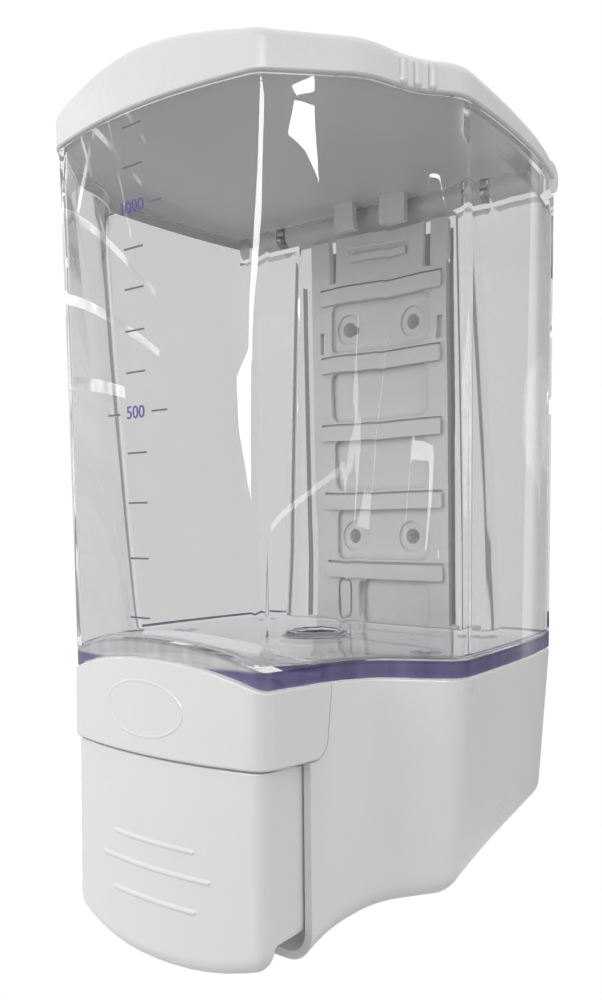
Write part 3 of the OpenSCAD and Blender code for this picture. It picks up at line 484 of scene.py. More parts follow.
def screwTree():
    # A pan-head screw with a cross slot on each given point, its head down
    t = Tree("screws", {"Head": "Float", "Thick": "Float", "Shank": "Float", "Length": "Float",
                        "Turn": "Vector", "Material": "Material"})
    head = t.add("GeometryNodeMeshCylinder", None, {
        "Vertices": 48, "Radius": t.given("Head"), "Depth": t.given("Thick")})
    head = t.add("GeometryNodeTransform", None, {
        "Geometry": head,
        "Translation": t.vector(z=t.maths("MULTIPLY", t.given("Thick"), -0.5))})
    shank = t.add("GeometryNodeMeshCylinder", None, {
        "Vertices": 32, "Radius": t.given("Shank"), "Depth": t.given("Length")})
    shank = t.add("GeometryNodeTransform", None, {
        "Geometry": shank,
        "Translation": t.vector(z=t.maths("MULTIPLY", t.given("Length"), 0.48))})
    wide = t.maths("MULTIPLY", t.given("Head"), 1.2)
    thin = t.maths("MULTIPLY", t.given("Head"), 0.22)
    down = t.maths("MULTIPLY", t.given("Thick"), -1.0)
    slots = []
    for sizes in ((wide, thin), (thin, wide)):
        bar = t.add("GeometryNodeMeshCube", None, {
            "Size": t.vector(sizes[0], sizes[1], t.given("Thick"))})
        slots.append(t.add("GeometryNodeTransform", None,
                           {"Geometry": bar, "Translation": t.vector(z=down)}))
    solid = t.add("GeometryNodeMeshBoolean", {"operation": "UNION"},
                  {"Mesh 2": t.join(head, shank)})
    for cut in slots:
        solid = t.add("GeometryNodeMeshBoolean", {"operation": "DIFFERENCE"},
                      {"Mesh 1": solid, "Mesh 2": cut})
    row = t.add("GeometryNodeInstanceOnPoints", None, {
        "Points": t.given(), "Instance": solid,
        "Rotation": t.add("FunctionNodeEulerToRotation", None, {0: t.given("Turn")})})
    return t.finish(row)


slabRow, capsules, tube, screws = slabRowTree(), capsuleTree(), tubeTree(), screwTree()
print("helpers ready")


# Materials

class Link:
    # A shader socket that takes part in sums
    def __init__(self, graph, socket):
        self.graph, self.socket = graph, socket

    def maths(self, how, a, b):
        return self.graph.add("ShaderNodeMath", {"operation": how}, {0: a, 1: b})

    def __add__(self, other):
        return self.maths("ADD", self, other)

    def __radd__(self, other):
        return self.maths("ADD", other, self)

    def __sub__(self, other):
        return self.maths("SUBTRACT", self, other)

    def __rsub__(self, other):
        return self.maths("SUBTRACT", other, self)

    def __mul__(self, other):
        return self.maths("MULTIPLY", self, other)

    def __rmul__(self, other):
        return self.maths("MULTIPLY", other, self)

    def __pow__(self, other):
        return self.maths("POWER", self, other)

    def __abs__(self):
        return self.maths("ABSOLUTE", self, 0.0)

    def between(self, low, high):
        # 0 below low, 1 above high, smooth between them
        return self.graph.add("ShaderNodeMapRange", {"interpolation_type": "SMOOTHSTEP"},
                              {"Value": self, "From Min": low, "From Max": high})


class Graph:
    def __init__(self, name, world=None):
        holder = world or bpy.data.materials.new(name)
        holder.use_nodes = True
        self.holder, self.tree = holder, holder.node_tree
        self.tree.nodes.clear()

    def add(self, kind, settings=None, values=None, out=0):
        node = self.tree.nodes.new(kind)
        for key, value in (settings or {}).items():
            setattr(node, key, value)
        for key, value in (values or {}).items():
            named = {socket.identifier: socket for socket in node.inputs}
            socket = named.get(key) or node.inputs[key]
            if isinstance(value, Link):
                self.tree.links.new(value.socket, socket)
            else:
                socket.default_value = value
        return Link(self, node.outputs[out])

    def split(self, vector):
        first = self.add("ShaderNodeSeparateXYZ", None, {0: vector})
        return [Link(self, part) for part in first.socket.node.outputs]

    def where(self, kind="Object"):
        return self.add("ShaderNodeTexCoord", out=kind)

    def ray(self, kind):
        return self.add("ShaderNodeLightPath", out=kind)

    def cloud(self, scale, detail, stretch=(1, 1, 1)):
        spot = self.add("ShaderNodeMapping", None, {"Vector": self.where(), "Scale": stretch})
        return self.add("ShaderNodeTexNoise", None, {
            "Vector": spot, "Scale": scale, "Detail": detail, "Roughness": 0.5}, out="Fac")

    def blend(self, factor, a, b):
        return self.add("ShaderNodeMix", {"data_type": "RGBA"},
                        {"Factor_Float": factor, "A_Color": a, "B_Color": b}, out=2)

    def tone(self, colour, strength):
        return self.add("ShaderNodeVectorMath", {"operation": "SCALE"},
                        {0: colour, "Scale": strength})

    def bump(self, height, distance, strength=1.0):
        return self.add("ShaderNodeBump", None, {
            "Strength": strength, "Distance": distance * mm, "Height": height})

    def finish(self, surface):
        kind = "World" if isinstance(self.holder, bpy.types.World) else "Material"
        end = self.tree.nodes.new("ShaderNodeOutput" + kind)
        self.tree.links.new(surface.socket, end.inputs["Surface"])
        return self.holder

    def skin(self, values):
        return self.finish(self.add("ShaderNodeBsdfPrincipled", None, values))


tank = {
    "wall": 2.0, "floor": 4.2, "neck": 2.6, "rim": 1.8, "neckInset": 2.0, "lap": 0.6,
    "channelTop": 30.0, "channelSeam": 36.5, "channelDepth": 11.0, "channelFold": 2.4,
    "channelPast": (60, 5),                               # past the ends, and behind the wall
    "notchDepth": 11.0, "notchDrop": 4.2, "shoulder": 57.2, "edge": 0.5, "innerEdge": 1.3,
    "outletR": 7.0, "spoutR": 10.0, "spoutDrop": 6.0, "pumpY": -44.5,
    "earX": (36.0, 39.0), "earR": 2.35, "hingeY": -6.2, "hingeZ": 68.0, "pinR": 1.25,
    "pinHole": (34.0, 41.0), "play": 0.05,
    "railX": (26.3, 28.1), "railY": -4.7, "railZ": (-60.38, 48.9), "hook": (23.5, -6.5),
    "latch": ((-9.0, 9.0), -9.3, (57.0, 58.6)),
    "posts": [(40.0, -20.0), (42.0, -54.0)], "postDrop": 7.0, "postR": 4.0,
    "postHole": (1.3, -8.0, 2.1), "outerRows": (-35, -10, 15, 40), "innerRows": (-30, 0, 30),
}
plastics = {
    "white": (0.80, 0.80, 0.805), "whiteRough": 0.30, "whiteMottle": 0.025,
    "bracket": (0.95, 0.95, 0.945), "bracketRough": 0.42, "bracketMottle": 0.04,
    "natural": (0.74, 0.74, 0.71), "naturalRough": 0.38, "naturalMottle": 0.05,
    "clear": (0.765, 0.765, 0.768), "clearViolet": (0.10, 0.085, 0.20), "clearIndex": 1.33,
    "violetTop": -60.4, "violetSoft": (-0.5, 0.4), "edgeSoft": (-0.2, 0.1),
    "rearY": (-16.0, -12.0), "rearX": (44.0, 48.0),       # where the edge isn't violet
    "edgeGrey": (0.52, 0.52, 0.53), "edgeViolet": (0.118, 0.098, 0.235), "edgeCover": 0.86,
    # painted light at the foot of the clear edge and a painted shadow line along its brow: low,
    # high, strength
    "edgeFootPaintedLight": (-4.2, -2.9, 0.3), "edgeBrowPaintedShade": (-1.0, -0.4, 0.35), "edgeStreaks": 0.9,
    "passing": (0.985, 0.985, 0.99), "trappedAfter": 3.5,
    # painted shade in recesses: how far ambient occlusion looks and how much it darkens
    "paintedShadeReach": 2.2, "paintedRecessShade": 0.5,
}
smallParts = {
    "violetInk": (0.075, 0.055, 0.30), "greyInk": (0.11, 0.11, 0.17), "inkRough": 0.42,
    "steel": (0.62, 0.62, 0.64), "steelRough": 0.24,
    "rubber": (0.03, 0.03, 0.033), "rubberRough": 0.5,
    "silicone": (0.66, 0.61, 0.54), "siliconeRough": 0.36,
}


def mouldedPlastic(name, colour, rough, mottle, grain=0.012, shadeInRecesses=0.0):
    # Satin moulded plastic: faint clouding, flow marks and a fine spark-eroded grain, with optional
    # painted shade darkening its recesses
    g = Graph(name)
    clouds = g.cloud(38.0, 4.0)
    flow = g.cloud(14.0, 2.0, (1.0, 1.0, 0.25))
    fine = g.cloud(2300.0, 2.0)
    specks = g.cloud(620.0, 1.0).between(0.72, 0.80)
    shade = g.tone(colour, 1.0 + (clouds - 0.5) * mottle + (flow - 0.5) * mottle * 0.8
                   - specks * 0.02)
    if shadeInRecesses:
        # Painted shade: ambient occlusion darkens the base colour wherever other surfaces are
        # close, as in recesses and narrow gaps
        openness = g.add("ShaderNodeAmbientOcclusion", {"only_local": True, "samples": 6},
                         {"Distance": plastics["paintedShadeReach"] * mm}, out="AO")
        shade = g.tone(shade, 1.0 - (1.0 - openness) * shadeInRecesses)
    gloss = rough + (clouds - 0.5) * 0.10 + (fine - 0.5) * 0.08
    return g.skin({"Base Color": shade, "Roughness": gloss, "IOR": 1.5,
                   "Normal": g.bump(fine * 0.7 + flow * 0.6, grain)})


def clearPlastic():
    # Its thick lower edge is violet, and pale grey where the arch lifts it
    p = plastics
    g = Graph("clearTank")
    x, y, z = g.split(g.where())
    facing = g.split(g.add("ShaderNodeNewGeometry", out="Normal"))[2]
    upright = 1.0 - abs(facing).between(0.5, 0.9)
    bow = g.add("ShaderNodeMath", {"operation": "MAXIMUM"}, {
        0: 1.0 - (abs(x) * (1 / (body["noseHalf"] * mm))) ** body["archPower"], 1: 0.0})
    nose = 1.0 - y.between((body["archBack"] - body["archFade"]) * mm, body["archBack"] * mm)
    lift = bow * nose * (body["archRise"] * mm)
    over = z - lift - (seamZ + tank["floor"]) * mm          # height above the thick edge
    edge = upright * (1.0 - over.between(*(v * mm for v in p["edgeSoft"])))
    rear = (y.between(*(v * mm for v in p["rearY"]))
            * (1.0 - abs(x).between(*(v * mm for v in p["rearX"]))))
    violet = (1.0 - z.between(*((p["violetTop"] + v) * mm for v in p["violetSoft"]))) * (1.0 - rear)
    clouds = g.cloud(30.0, 3.0)
    tint = g.blend(violet * edge, (*p["clear"], 1), (*p["clearViolet"], 1))
    wear = g.cloud(60.0, 3.0, (1.0, 1.0, 0.4)).between(0.55, 0.85)
    wall = g.add("ShaderNodeBsdfPrincipled", None, {
        "Base Color": g.tone(tint, 1.0 + (clouds - 0.5) * 0.03),
        "Roughness": 0.008 + wear * 0.014, "Transmission Weight": 1.0,
        "IOR": p["clearIndex"], "Normal": g.bump(g.cloud(22.0, 2.0), 0.02, 0.25)})
    # The edge has painted light at its foot and a painted shadow line along its brow, with upright
    # streaks
    (footLow, footHigh, foot), (browLow, browHigh, brow) = p["edgeFootPaintedLight"], p["edgeBrowPaintedShade"]
    shade = ((1.0 + foot - over.between(footLow * mm, footHigh * mm) * foot)
             * (1.0 - over.between(browLow * mm, browHigh * mm) * brow)
             + (g.cloud(240.0, 2.0, (1.0, 1.0, 0.08)) - 0.5) * p["edgeStreaks"])
    rim = g.add("ShaderNodeBsdfPrincipled", None, {
        "Base Color": g.tone(g.blend(violet, (*p["edgeGrey"], 1), (*p["edgeViolet"], 1)), shade),
        "Roughness": 0.12 + wear * 0.05, "IOR": 1.49})
    wall = g.add("ShaderNodeMixShader", None, {0: edge * p["edgeCover"], 1: wall, 2: rim})
    # Shadow rays pass, and so does light that is trapped between the walls
    trapped = g.ray("Ray Depth").between(p["trappedAfter"] - 0.1, p["trappedAfter"] + 0.1)
    through = g.add("ShaderNodeBsdfTransparent", None, {"Color": (*p["passing"], 1)})
    passing = g.add("ShaderNodeMath", {"operation": "MAXIMUM"},
                    {0: g.ray("Is Shadow Ray"), 1: trapped})
    return g.finish(g.add("ShaderNodeMixShader", None, {0: passing, 1: wall, 2: through}))


def ink(name, colour):
    g = Graph(name)
    worn = g.cloud(900.0, 3.0)
    return g.skin({"Base Color": g.tone(colour, 0.9 + worn * 0.2),
                   "Roughness": smallParts["inkRough"] + (worn - 0.5) * 0.2,
                   "Normal": g.bump(worn, 0.01)})


def brushedSteel():
    g = Graph("brushedSteel")
    lines = g.cloud(900.0, 3.0, (0.06, 1.0, 1.0))
    clouds = g.cloud(120.0, 3.0)
    return g.skin({"Base Color": g.tone(smallParts["steel"], 0.92 + clouds * 0.14),
                   "Metallic": 1.0, "Roughness": smallParts["steelRough"] + lines * 0.14,
                   "Normal": g.bump(lines, 0.01, 0.5)})


def softRubber(name, colour, rough):
    g = Graph(name)
    clouds, fine = g.cloud(90.0, 4.0), g.cloud(1800.0, 2.0)
    return g.skin({"Base Color": g.tone(colour, 0.9 + clouds * 0.2),
                   "Roughness": rough + (fine - 0.5) * 0.1, "IOR": 1.42,
                   "Normal": g.bump(fine, 0.02)})


white = mouldedPlastic("satinWhite", plastics["white"], plastics["whiteRough"],
                       plastics["whiteMottle"])
# The bracket's colour carries painted shade in its recesses
bracketWhite = mouldedPlastic("bracketWhite", plastics["bracket"], plastics["bracketRough"],
                              plastics["bracketMottle"], 0.02, plastics["paintedRecessShade"])
naturalPlastic = mouldedPlastic("naturalPump", plastics["natural"], plastics["naturalRough"],
                                plastics["naturalMottle"])
clearTank = clearPlastic()
inkViolet = ink("volumeViolet", smallParts["violetInk"])
inkGrey = ink("tickGrey", smallParts["greyInk"])
steel = brushedSteel()
rubber = softRubber("blackRubber", smallParts["rubber"], smallParts["rubberRough"])
silicone = softRubber("siliconeFlap", smallParts["silicone"], smallParts["siliconeRough"])
print("materials ready")


def place(obj, name, bodyName, material, nodes=()):
    obj.name = name
    obj.data.name = name
    obj.data.materials.clear()
    obj.data.materials.append(material)
    if nodes:
        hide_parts(*nodes)
    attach(obj, bodyName)
    print("made", name, len(obj.data.polygons), "faces")
    return obj


# Tank

def wallRing(inset, z):
    return ring(crisp(mixHalf(z)), inset + tank["lap"] * (z - seamZ) / (lidZ - seamZ), z)


def neckRing(inset, z):
    return ring(crisp(lidHalf), tank["neckInset"] + inset, z)


def bracketChannel(extra):
    # Tapering channel for the wall bracket, with folded corners
    rings = []
    slope = (tank["channelTop"] - tank["channelSeam"]) / (lidZ - seamZ)
    past, behind = tank["channelPast"]
    for z in (seamZ - past, lidZ + past):
        w = tank["channelSeam"] + slope * (z - seamZ) + extra
        depth = -tank["channelDepth"] - extra
        half = [(0, depth, 0.3), (w, depth, tank["channelFold"] + extra), (w, behind, 0.3)]
        rings.append(ring(half, 0, z))
    return loft(rings, flatEnds=True, name="channel")


def hingeNotch(extra):
    low = (-far, -tank["notchDepth"] - extra, lidZ - tank["notchDrop"] - extra)
    return block(low, (far, far, far))


def tankOuter():
    lip = arc(0.4, 3)
    rings = []
    for inward, up in arc(tank["edge"], 4):
        rings.append(ring(crisp(seamHalf), inward,
                          lambda x, y, up=up: seamZ + archLift(x, y) + up))
    rings += [wallRing(0, z) for z in (seamZ + 7.5, *tank["outerRows"], lidZ - 0.7)]
    rings += [wallRing(inward, lidZ - 0.3 - up) for inward, up in reversed(lip[:-1])]
    rings += [neckRing(0, lidZ - 0.3), neckRing(0, lidZ + tank["neck"] - 0.4)]
    rings += [neckRing(inward, lidZ + tank["neck"] - up) for inward, up in reversed(lip[:-1])]
    return loft(rings, lowShape=lambda x, y: seamZ + archLift(x, y), name="tank")


def tankInner():
    floorZ = seamZ + tank["floor"]
    wall, shoulder = tank["wall"], tank["shoulder"]
    rings = []
    for inward, up in arc(tank["innerEdge"], 6):
        rings.append(ring(crisp(seamHalf), wall + inward,
                          lambda x, y, up=up: floorZ + archLift(x, y) + up))
    rings += [wallRing(wall, z) for z in (floorZ + 8, *tank["innerRows"], shoulder)]
    rings += [neckRing(tank["rim"], shoulder + 3), neckRing(tank["rim"], lidZ + 6)]
    inner = loft(rings, lowShape=lambda x, y: floorZ + archLift(x, y), name="soapSpace")
    carve(inner, bracketChannel(wall))
    return carve(inner, hingeNotch(wall))


def makeTank():
    t = tank
    obj = tankOuter()
    carve(obj, bracketChannel(0))
    carve(obj, hingeNotch(0))
    carve(obj, tankInner())
    back, floorZ, low = -t["channelDepth"] - slack, seamZ + t["floor"], seamZ - t["spoutDrop"]
    earLow, earHigh = t["hingeZ"] - t["earR"], t["hingeZ"] + t["earR"]
    (railIn, railOut), (railLow, railHigh), (hookIn, hookY) = t["railX"], t["railZ"], t["hook"]
    for side in (-1, 1):
        x0, x1 = mirrored(*t["earX"], side)
        ear = block((x0, back, earLow), (x1, t["hingeY"], earHigh))
        fuse(ear, rodX(x0, x1, t["hingeY"], t["hingeZ"], t["earR"]))
        fuse(obj, ear)
        rail = sideBlock(side, (railIn, back, railLow), (railOut, t["railY"], railHigh))
        fuse(rail, sideBlock(side, (hookIn, hookY, railLow),
                             (railOut - slack, t["railY"], railHigh)))
        fuse(obj, rail)
    (x0, x1), y, (z0, z1) = t["latch"]
    fuse(obj, block((x0, back, z0), (x1, y, z1)))
    spoutR, rim, y = t["spoutR"], t["outletR"] + t["rim"], t["pumpY"]
    fuse(obj, turned([(0, low), (spoutR - 0.4, low), (spoutR, low + 0.4), (spoutR, seamZ + 1),
                      (0, seamZ + 1)], 0, y, "spout"))
    fuse(obj, turned([(0, seamZ + 1), (rim, seamZ + 1), (rim, floorZ + 0.5),
                      (rim - 0.5, floorZ + 1), (0, floorZ + 1)], 0, y, "outletRim"))
    postSpots = [(side * x, depth) for x, depth in t["posts"] for side in (-1, 1)]
    for x, depth in postSpots:
        fuse(obj, rodZ(seamZ - t["postDrop"], seamZ + 1, x, depth, t["postR"], 48))
    carve(obj, rodZ(low - 1, floorZ + 3, 0, y, t["outletR"]))
    for side in (-1, 1):
        carve(obj, sideRod(side, *t["pinHole"], t["hingeY"], t["hingeZ"],
                           t["pinR"] + t["play"], 32))
    holeR, holeLow, holeHigh = t["postHole"]
    for x, depth in postSpots:
        carve(obj, rodZ(seamZ + holeLow, seamZ + holeHigh, x, depth, holeR, 32))
    return roundEdges(obj, 0.0, 40)


place(makeTank(), "clear_tank", "dispenser", clearTank, ["tank"])


# Volume marks

marks = {
    "tickHeights": [63.6, 54.3, 44.8, 35.4, 26.1, 16.4, 6.8, -2.6, -11.9, -23.5, -36.4, -50.2],
    "tickWide": 6.3, "tickTall": 0.42, "tickX": (-1.3, -2.1), "depth": 0.16, "sunk": 0.05,
    "fontSize": 1.42,                   # times the height of a figure
    # Figures: text, z, x, height, and the short ticks on their left and right
    "numbers": [("1000", 44.8, -2.0, 3.0, (-11.8, -8.3), (3.4, 7.9)),
                ("500", -2.6, -2.1, 3.0, (-12.0, -7.7), (3.3, 8.2))],
}


def tankFront(x, z):
    return frontY(mixHalf(z), tank["lap"] * (z - seamZ) / (lidZ - seamZ), x)


def tickX(z):
    # The column of ticks leans a little
    high, low = marks["tickHeights"][0], marks["tickHeights"][-1]
    at, end = marks["tickX"]
    return at + (end - at) * (high - z) / (high - low)


def tickTree():
    # A thin raised tick on each given point
    t = Tree("ticks", {"Width": "Float", "Height": "Float", "Depth": "Float",
                       "Material": "Material"})
    tick = t.add("GeometryNodeMeshCube", None, {
        "Size": t.vector(t.given("Width"), t.given("Depth"), t.given("Height"))})
    row = t.add("GeometryNodeInstanceOnPoints", None, {"Points": t.given(), "Instance": tick})
    return t.finish(row)


def makeTicks(name, spots, width):
    at = [(x, tankFront(x, z) - marks["depth"] / 2 + marks["sunk"], z) for x, z in spots]
    values = {"Width": width * mm, "Height": marks["tickTall"] * mm, "Depth": marks["depth"] * mm,
              "Material": inkGrey}
    place(ticks.make(name, values, at), name, "dispenser", inkGrey)


def makeNumber(text, z, x, tall):
    curve = bpy.data.curves.new("number", "FONT")
    curve.body = text
    curve.size = tall * marks["fontSize"] * mm
    curve.align_x, curve.align_y = "CENTER", "CENTER"
    curve.extrude = marks["depth"] / 2 * mm
    curve.resolution_u = 4
    holder = newObject("number", curve)
    mesh = plainMesh(holder)
    bpy.data.objects.remove(holder)
    for v in mesh.vertices:
        right, up, out = v.co / mm
        surface = tankFront(x + right, z + up)
        v.co = Vector((x + right, surface + marks["sunk"] - marks["depth"] / 2 - out, z + up)) * mm
    place(welded(newObject("number", mesh)), "volume_" + text, "dispenser",
          inkViolet)


ticks = tickTree()
numbered = [z for text, z, *rest in marks["numbers"]]
makeTicks("volume_ticks", [(tickX(z), z) for z in marks["tickHeights"] if z not in numbered],
          marks["tickWide"])
for text, z, x, tall, left, right in marks["numbers"]:
    makeNumber(text, z, x, tall)
    for part, (x0, x1) in (("left", left), ("right", right)):
        makeTicks("tick_%s_%s" % (text, part), [((x0 + x1) / 2, z)], x1 - x0)


# Wall bracket

bracket = {
    "half": 26.0, "front": -9.0, "plate": 2.2, "low": -64.38, "top": 62.9,
    "spine": (17.5, 19.5), "slotsLow": 48.9, "slot": (15.7, 18.7),
    "footTop": -60.68, "footOut": 3.0,
    "pitch": 22.2, "count": 5, "ledgeZ": 46.62, "ledgeHeight": 4.7, "ledgeOut": 1.0,
    "ledgeHalf": 22.5, "rungHeight": 2.0, "groove": (0.8, 0.9),
    "pocketHalf": 18.0, "pocketDepth": 1.5, "pocketCorner": 3.0, "pocketGap": 0.6,
    "lastPocket": (-8.5, 18.0), "loop": (-14.4, 3.2, 2.1, 14.0, 0.8),
    "screwX": 11.0, "screwZ": 33.3, "screwR": 2.4, "bossR": 5.0, "seat": 7.0,
    "catch": (9.0, 54.3, 56.7), "window": (20.85, 22.85, 26.42, 33.42), "edge": 0.35,
    "open": (-30, 5, 100),              # front, rear and top of what cuts right through
}


def ledgeRow(width, height, depth, front, top, corner, x=0.0, count=bracket["count"]):
    # Slabs down the bracket, or their cutters where the depth is negative
    first = (x, front, top - height / 2)
    values = {"Width": width * mm, "Height": height * mm, "Depth": depth * mm,
              "Corner": corner * mm, "Count": count, "Pitch": bracket["pitch"] * mm,
              "First": [v * mm for v in first], "Material": bracketWhite}
    return slabRow.make("ledges", values)


def slot(x, top, radius, tall, front, rear):
    # Upright slot with round ends
    soft = radius * 0.99
    ends = [(x - radius, top - tall, soft), (x + radius, top - tall, soft),
            (x + radius, top, soft), (x - radius, top, soft)]
    return prism(rounded(ends, 8), "y", front, rear, "slot")


def makeBracket():
    b = bracket
    rear = b["front"] + b["plate"]
    plate = rounded([(-b["half"], b["low"], 0.5), (b["half"], b["low"], 0.5),
                     (b["half"], b["top"], 1.5), (-b["half"], b["top"], 1.5)], 4)
    obj = prism(plate, "y", b["front"], rear, "bracket")
    for side in (-1, 1):
        fuse(obj, sideBlock(side, (b["spine"][0], rear - slack, b["low"]),
                            (b["spine"][1], 0, b["slotsLow"] - 1)))
        fuse(obj, sideBlock(side, (b["spine"][1] - slack, b["front"], b["low"]),
                            (b["half"] + b["footOut"], 0, b["footTop"])))
    fuse(obj, ledgeRow(2 * b["ledgeHalf"], b["ledgeHeight"], b["ledgeOut"] + slack,
                       b["front"] + slack, b["ledgeZ"], 0.6))
    fuse(obj, ledgeRow(2 * b["spine"][1] - 1, b["rungHeight"], rear - slack, rear - slack,
                       b["ledgeZ"], 0.3))
    wallScrews = [(x, z) for x in (-b["screwX"], b["screwX"]) for z in (-b["screwZ"], b["screwZ"])]
    for x, z in wallScrews:
        fuse(obj, rodY(rear - slack, 0, x, z, b["bossR"]))
    half, low, high = b["catch"]
    lip = rounded([(b["front"] + slack, low, 0), (b["front"] - b["ledgeOut"], low, 0.6),
                   (b["front"] - b["ledgeOut"], high, 0.3), (b["front"] + slack, high, 0)], 4)
    fuse(obj, prism(lip, "x", -half, half))
    grooveHigh, grooveDeep = b["groove"]
    pocketHeight = b["pitch"] - b["ledgeHeight"] - grooveHigh - b["pocketGap"]
    firstPocket = b["ledgeZ"] - b["ledgeHeight"] - 0.02
    carve(obj, ledgeRow(2 * b["ledgeHalf"], grooveHigh, -grooveDeep - 1, b["front"] - 1,
                        b["ledgeZ"] + grooveHigh, 0.2))
    carve(obj, ledgeRow(2 * b["pocketHalf"], pocketHeight, -b["pocketDepth"] - 1,
                        b["front"] - 1, firstPocket, b["pocketCorner"], 0.0, b["count"] - 1))
    x0, x1 = b["lastPocket"]
    lastTop = firstPocket - b["pitch"] * (b["count"] - 1)
    carve(obj, ledgeRow(x1 - x0, pocketHeight - 1.5, -b["pocketDepth"] - 1, b["front"] - 1,
                        lastTop, b["pocketCorner"], (x0 + x1) / 2, 1))
    x, outer, inner, tall, deep = b["loop"]
    ridge = slot(x, lastTop + 0.4, outer, tall, b["front"] - 1, b["front"] + deep)
    carve(ridge, slot(x, lastTop + 0.4 - outer + inner, inner, tall - 2 * (outer - inner),
                      b["front"] - 2, b["front"] + deep + 1))
    carve(obj, ridge)
    openFront, openRear, openTop = b["open"]
    for side in (-1, 1):
        carve(obj, sideBlock(side, (b["slot"][0], openFront, b["slotsLow"]),
                             (b["slot"][1], openRear, openTop)))
        x0, x1, z0, z1 = b["window"]
        carve(obj, sideBlock(side, (x0, openFront, z0), (x1, 0, z1)))
    for x, z in wallScrews:
        carve(obj, rodY(openFront, openRear, x, z, b["screwR"], 48))
        carve(obj, rodY(openFront, -b["seat"], x, z, b["screwR"] * 2, 64))
    return roundEdges(obj, b["edge"], 35, 2)


place(makeBracket(), "wall_hanger", "dispenser", bracketWhite, ["wall_bracket"])


# Lid

lid = {
    "back": 5.0, "front": 10.0, "arch": 4.3, "dome": 1.6, "edge": 3.0, "skirt": 1.5, "top": 1.8,
    "reach": 111.5, "noseWide": 71.0, "barrel": 4.4, "halfBack": 56.4,
    "gripR": 1.25, "gripHigh": 4.0, "gripGap": 3.8, "gripCount": 3,
    "gripLift": 1.2, "lug": ((3.8, 11.6), -15.8, -13.4, 4.5),
    "slotX": (35.6, 39.4), "slotY": (-12, 1), "slotTop": 70.75,
    "pinHole": (32.7, 42.3), "pinX": (33, 42),
    "domeRows": (0.94, 0.86, 0.76, 0.66, 0.55, 0.44, 0.33, 0.22, 0.11),
}


def lidHeight(x, y):
    forward = min(1, max(0, -y / lid["reach"]))
    overNose = max(0, 1 - (2 * x / lid["noseWide"]) ** 2)
    return (lid["back"] + (lid["front"] - lid["back"]) * forward ** 1.3
            + lid["arch"] * overNose ** 1.5 * forward ** 3)


def lidShape(skin, drop, low, name):
    half, r = crisp(lidHalf), max(0.8, lid["edge"] - skin)
    middle = Vector((0, -lid["reach"] / 2))
    edge = outline(half, skin + r)

    def topAt(x, y):
        return lidZ + lidHeight(x, y) - drop

    rings = [ring(half, skin + 0.3 * (skin == 0), lidZ + low)]
    rings += [ring(half, skin, lidZ + low + 0.3)]
    for k in range(8):
        a = math.pi / 2 * k / 7
        inward, up = r * (1 - math.cos(a)), r * (1 - math.sin(a))
        rings.append(ring(half, skin + inward, lambda x, y, up=up: topAt(x, y) - up))
    for s in lid["domeRows"]:
        points = [middle + s * (p - middle) for p in edge]
        rings.append([Vector((q.x, q.y, topAt(q.x, q.y) + lid["dome"] * (1 - s * s)))
                      for q in points])
    return loft(rings, flatEnds=True, name=name)


def gripSpots():
    # Places along the outline on both sides of the hollow behind the cheek
    points = outline(lidHalf, lid["gripR"] * 0.25)
    hollow = Vector(lidHalf[3][:2])
    middle = min(range(len(points)), key=lambda i: (points[i] - hollow).length)
    spots = []
    for number in range(lid["gripCount"]):
        want = lid["gripGap"] * (number - (lid["gripCount"] - 1) / 2)
        step = 1 if want > 0 else -1
        at, walked = middle, 0.0
        while walked + (points[at + step] - points[at]).length < abs(want):
            walked += (points[at + step] - points[at]).length
            at += step
        nextPoint = points[at + step]
        span = (nextPoint - points[at]).length
        p = points[at].lerp(nextPoint, (abs(want) - walked) / span)
        spots += [(side * p.x, p.y, lidZ + lid["gripLift"] + lid["gripHigh"] / 2)
                  for side in (-1, 1)]
    return spots


def makeLid():
    obj = lidShape(0, 0, 0, "lid")
    carve(obj, lidShape(lid["skirt"], lid["top"], -1, "under"))
    carve(obj, block((-far, tank["hingeY"], -far), (far, far, far)))
    fuse(obj, rodX(-lid["halfBack"], lid["halfBack"], tank["hingeY"], tank["hingeZ"],
                   lid["barrel"], 96))
    (x0, x1), y0, y1, drop = lid["lug"]
    for side in (-1, 1):
        fuse(obj, sideBlock(side, (x0, y0, lidZ - drop), (x1, y1, lidZ + lid["back"] - 0.2)))
    grips = capsules.make("grips", {"Radius": lid["gripR"] * mm, "Length": lid["gripHigh"] * mm,
                                    "Material": white}, gripSpots())
    fuse(obj, grips)
    (x0, x1), (y0, y1) = lid["slotX"], lid["slotY"]
    for side in (-1, 1):
        carve(obj, sideBlock(side, (x0, y0, -far), (x1, y1, lid["slotTop"])))
        carve(obj, sideRod(side, *lid["pinHole"], tank["hingeY"], tank["hingeZ"],
                           tank["pinR"] + tank["play"], 32))
    return roundEdges(obj, 0.0, 40)


place(makeLid(), "hinged_lid", "lid", white, ["lid"])


def pins(name, spans, y, z, radius, nodes):
    # Steel pins with chamfered ends
    whole = None
    for x0, x1 in spans:
        pin = rodX(x0, x1, y, z, radius, 48)
        whole = fuse(whole, pin) if whole else pin
    roundEdges(whole, radius * 0.25, 50, 1)
    place(whole, name, "dispenser", steel, nodes)


pins("hinge_pins", [mirrored(*lid["pinX"], side) for side in (-1, 1)], tank["hingeY"],
     tank["hingeZ"], tank["pinR"], ["lid_hinge_pins"])


# Base housing

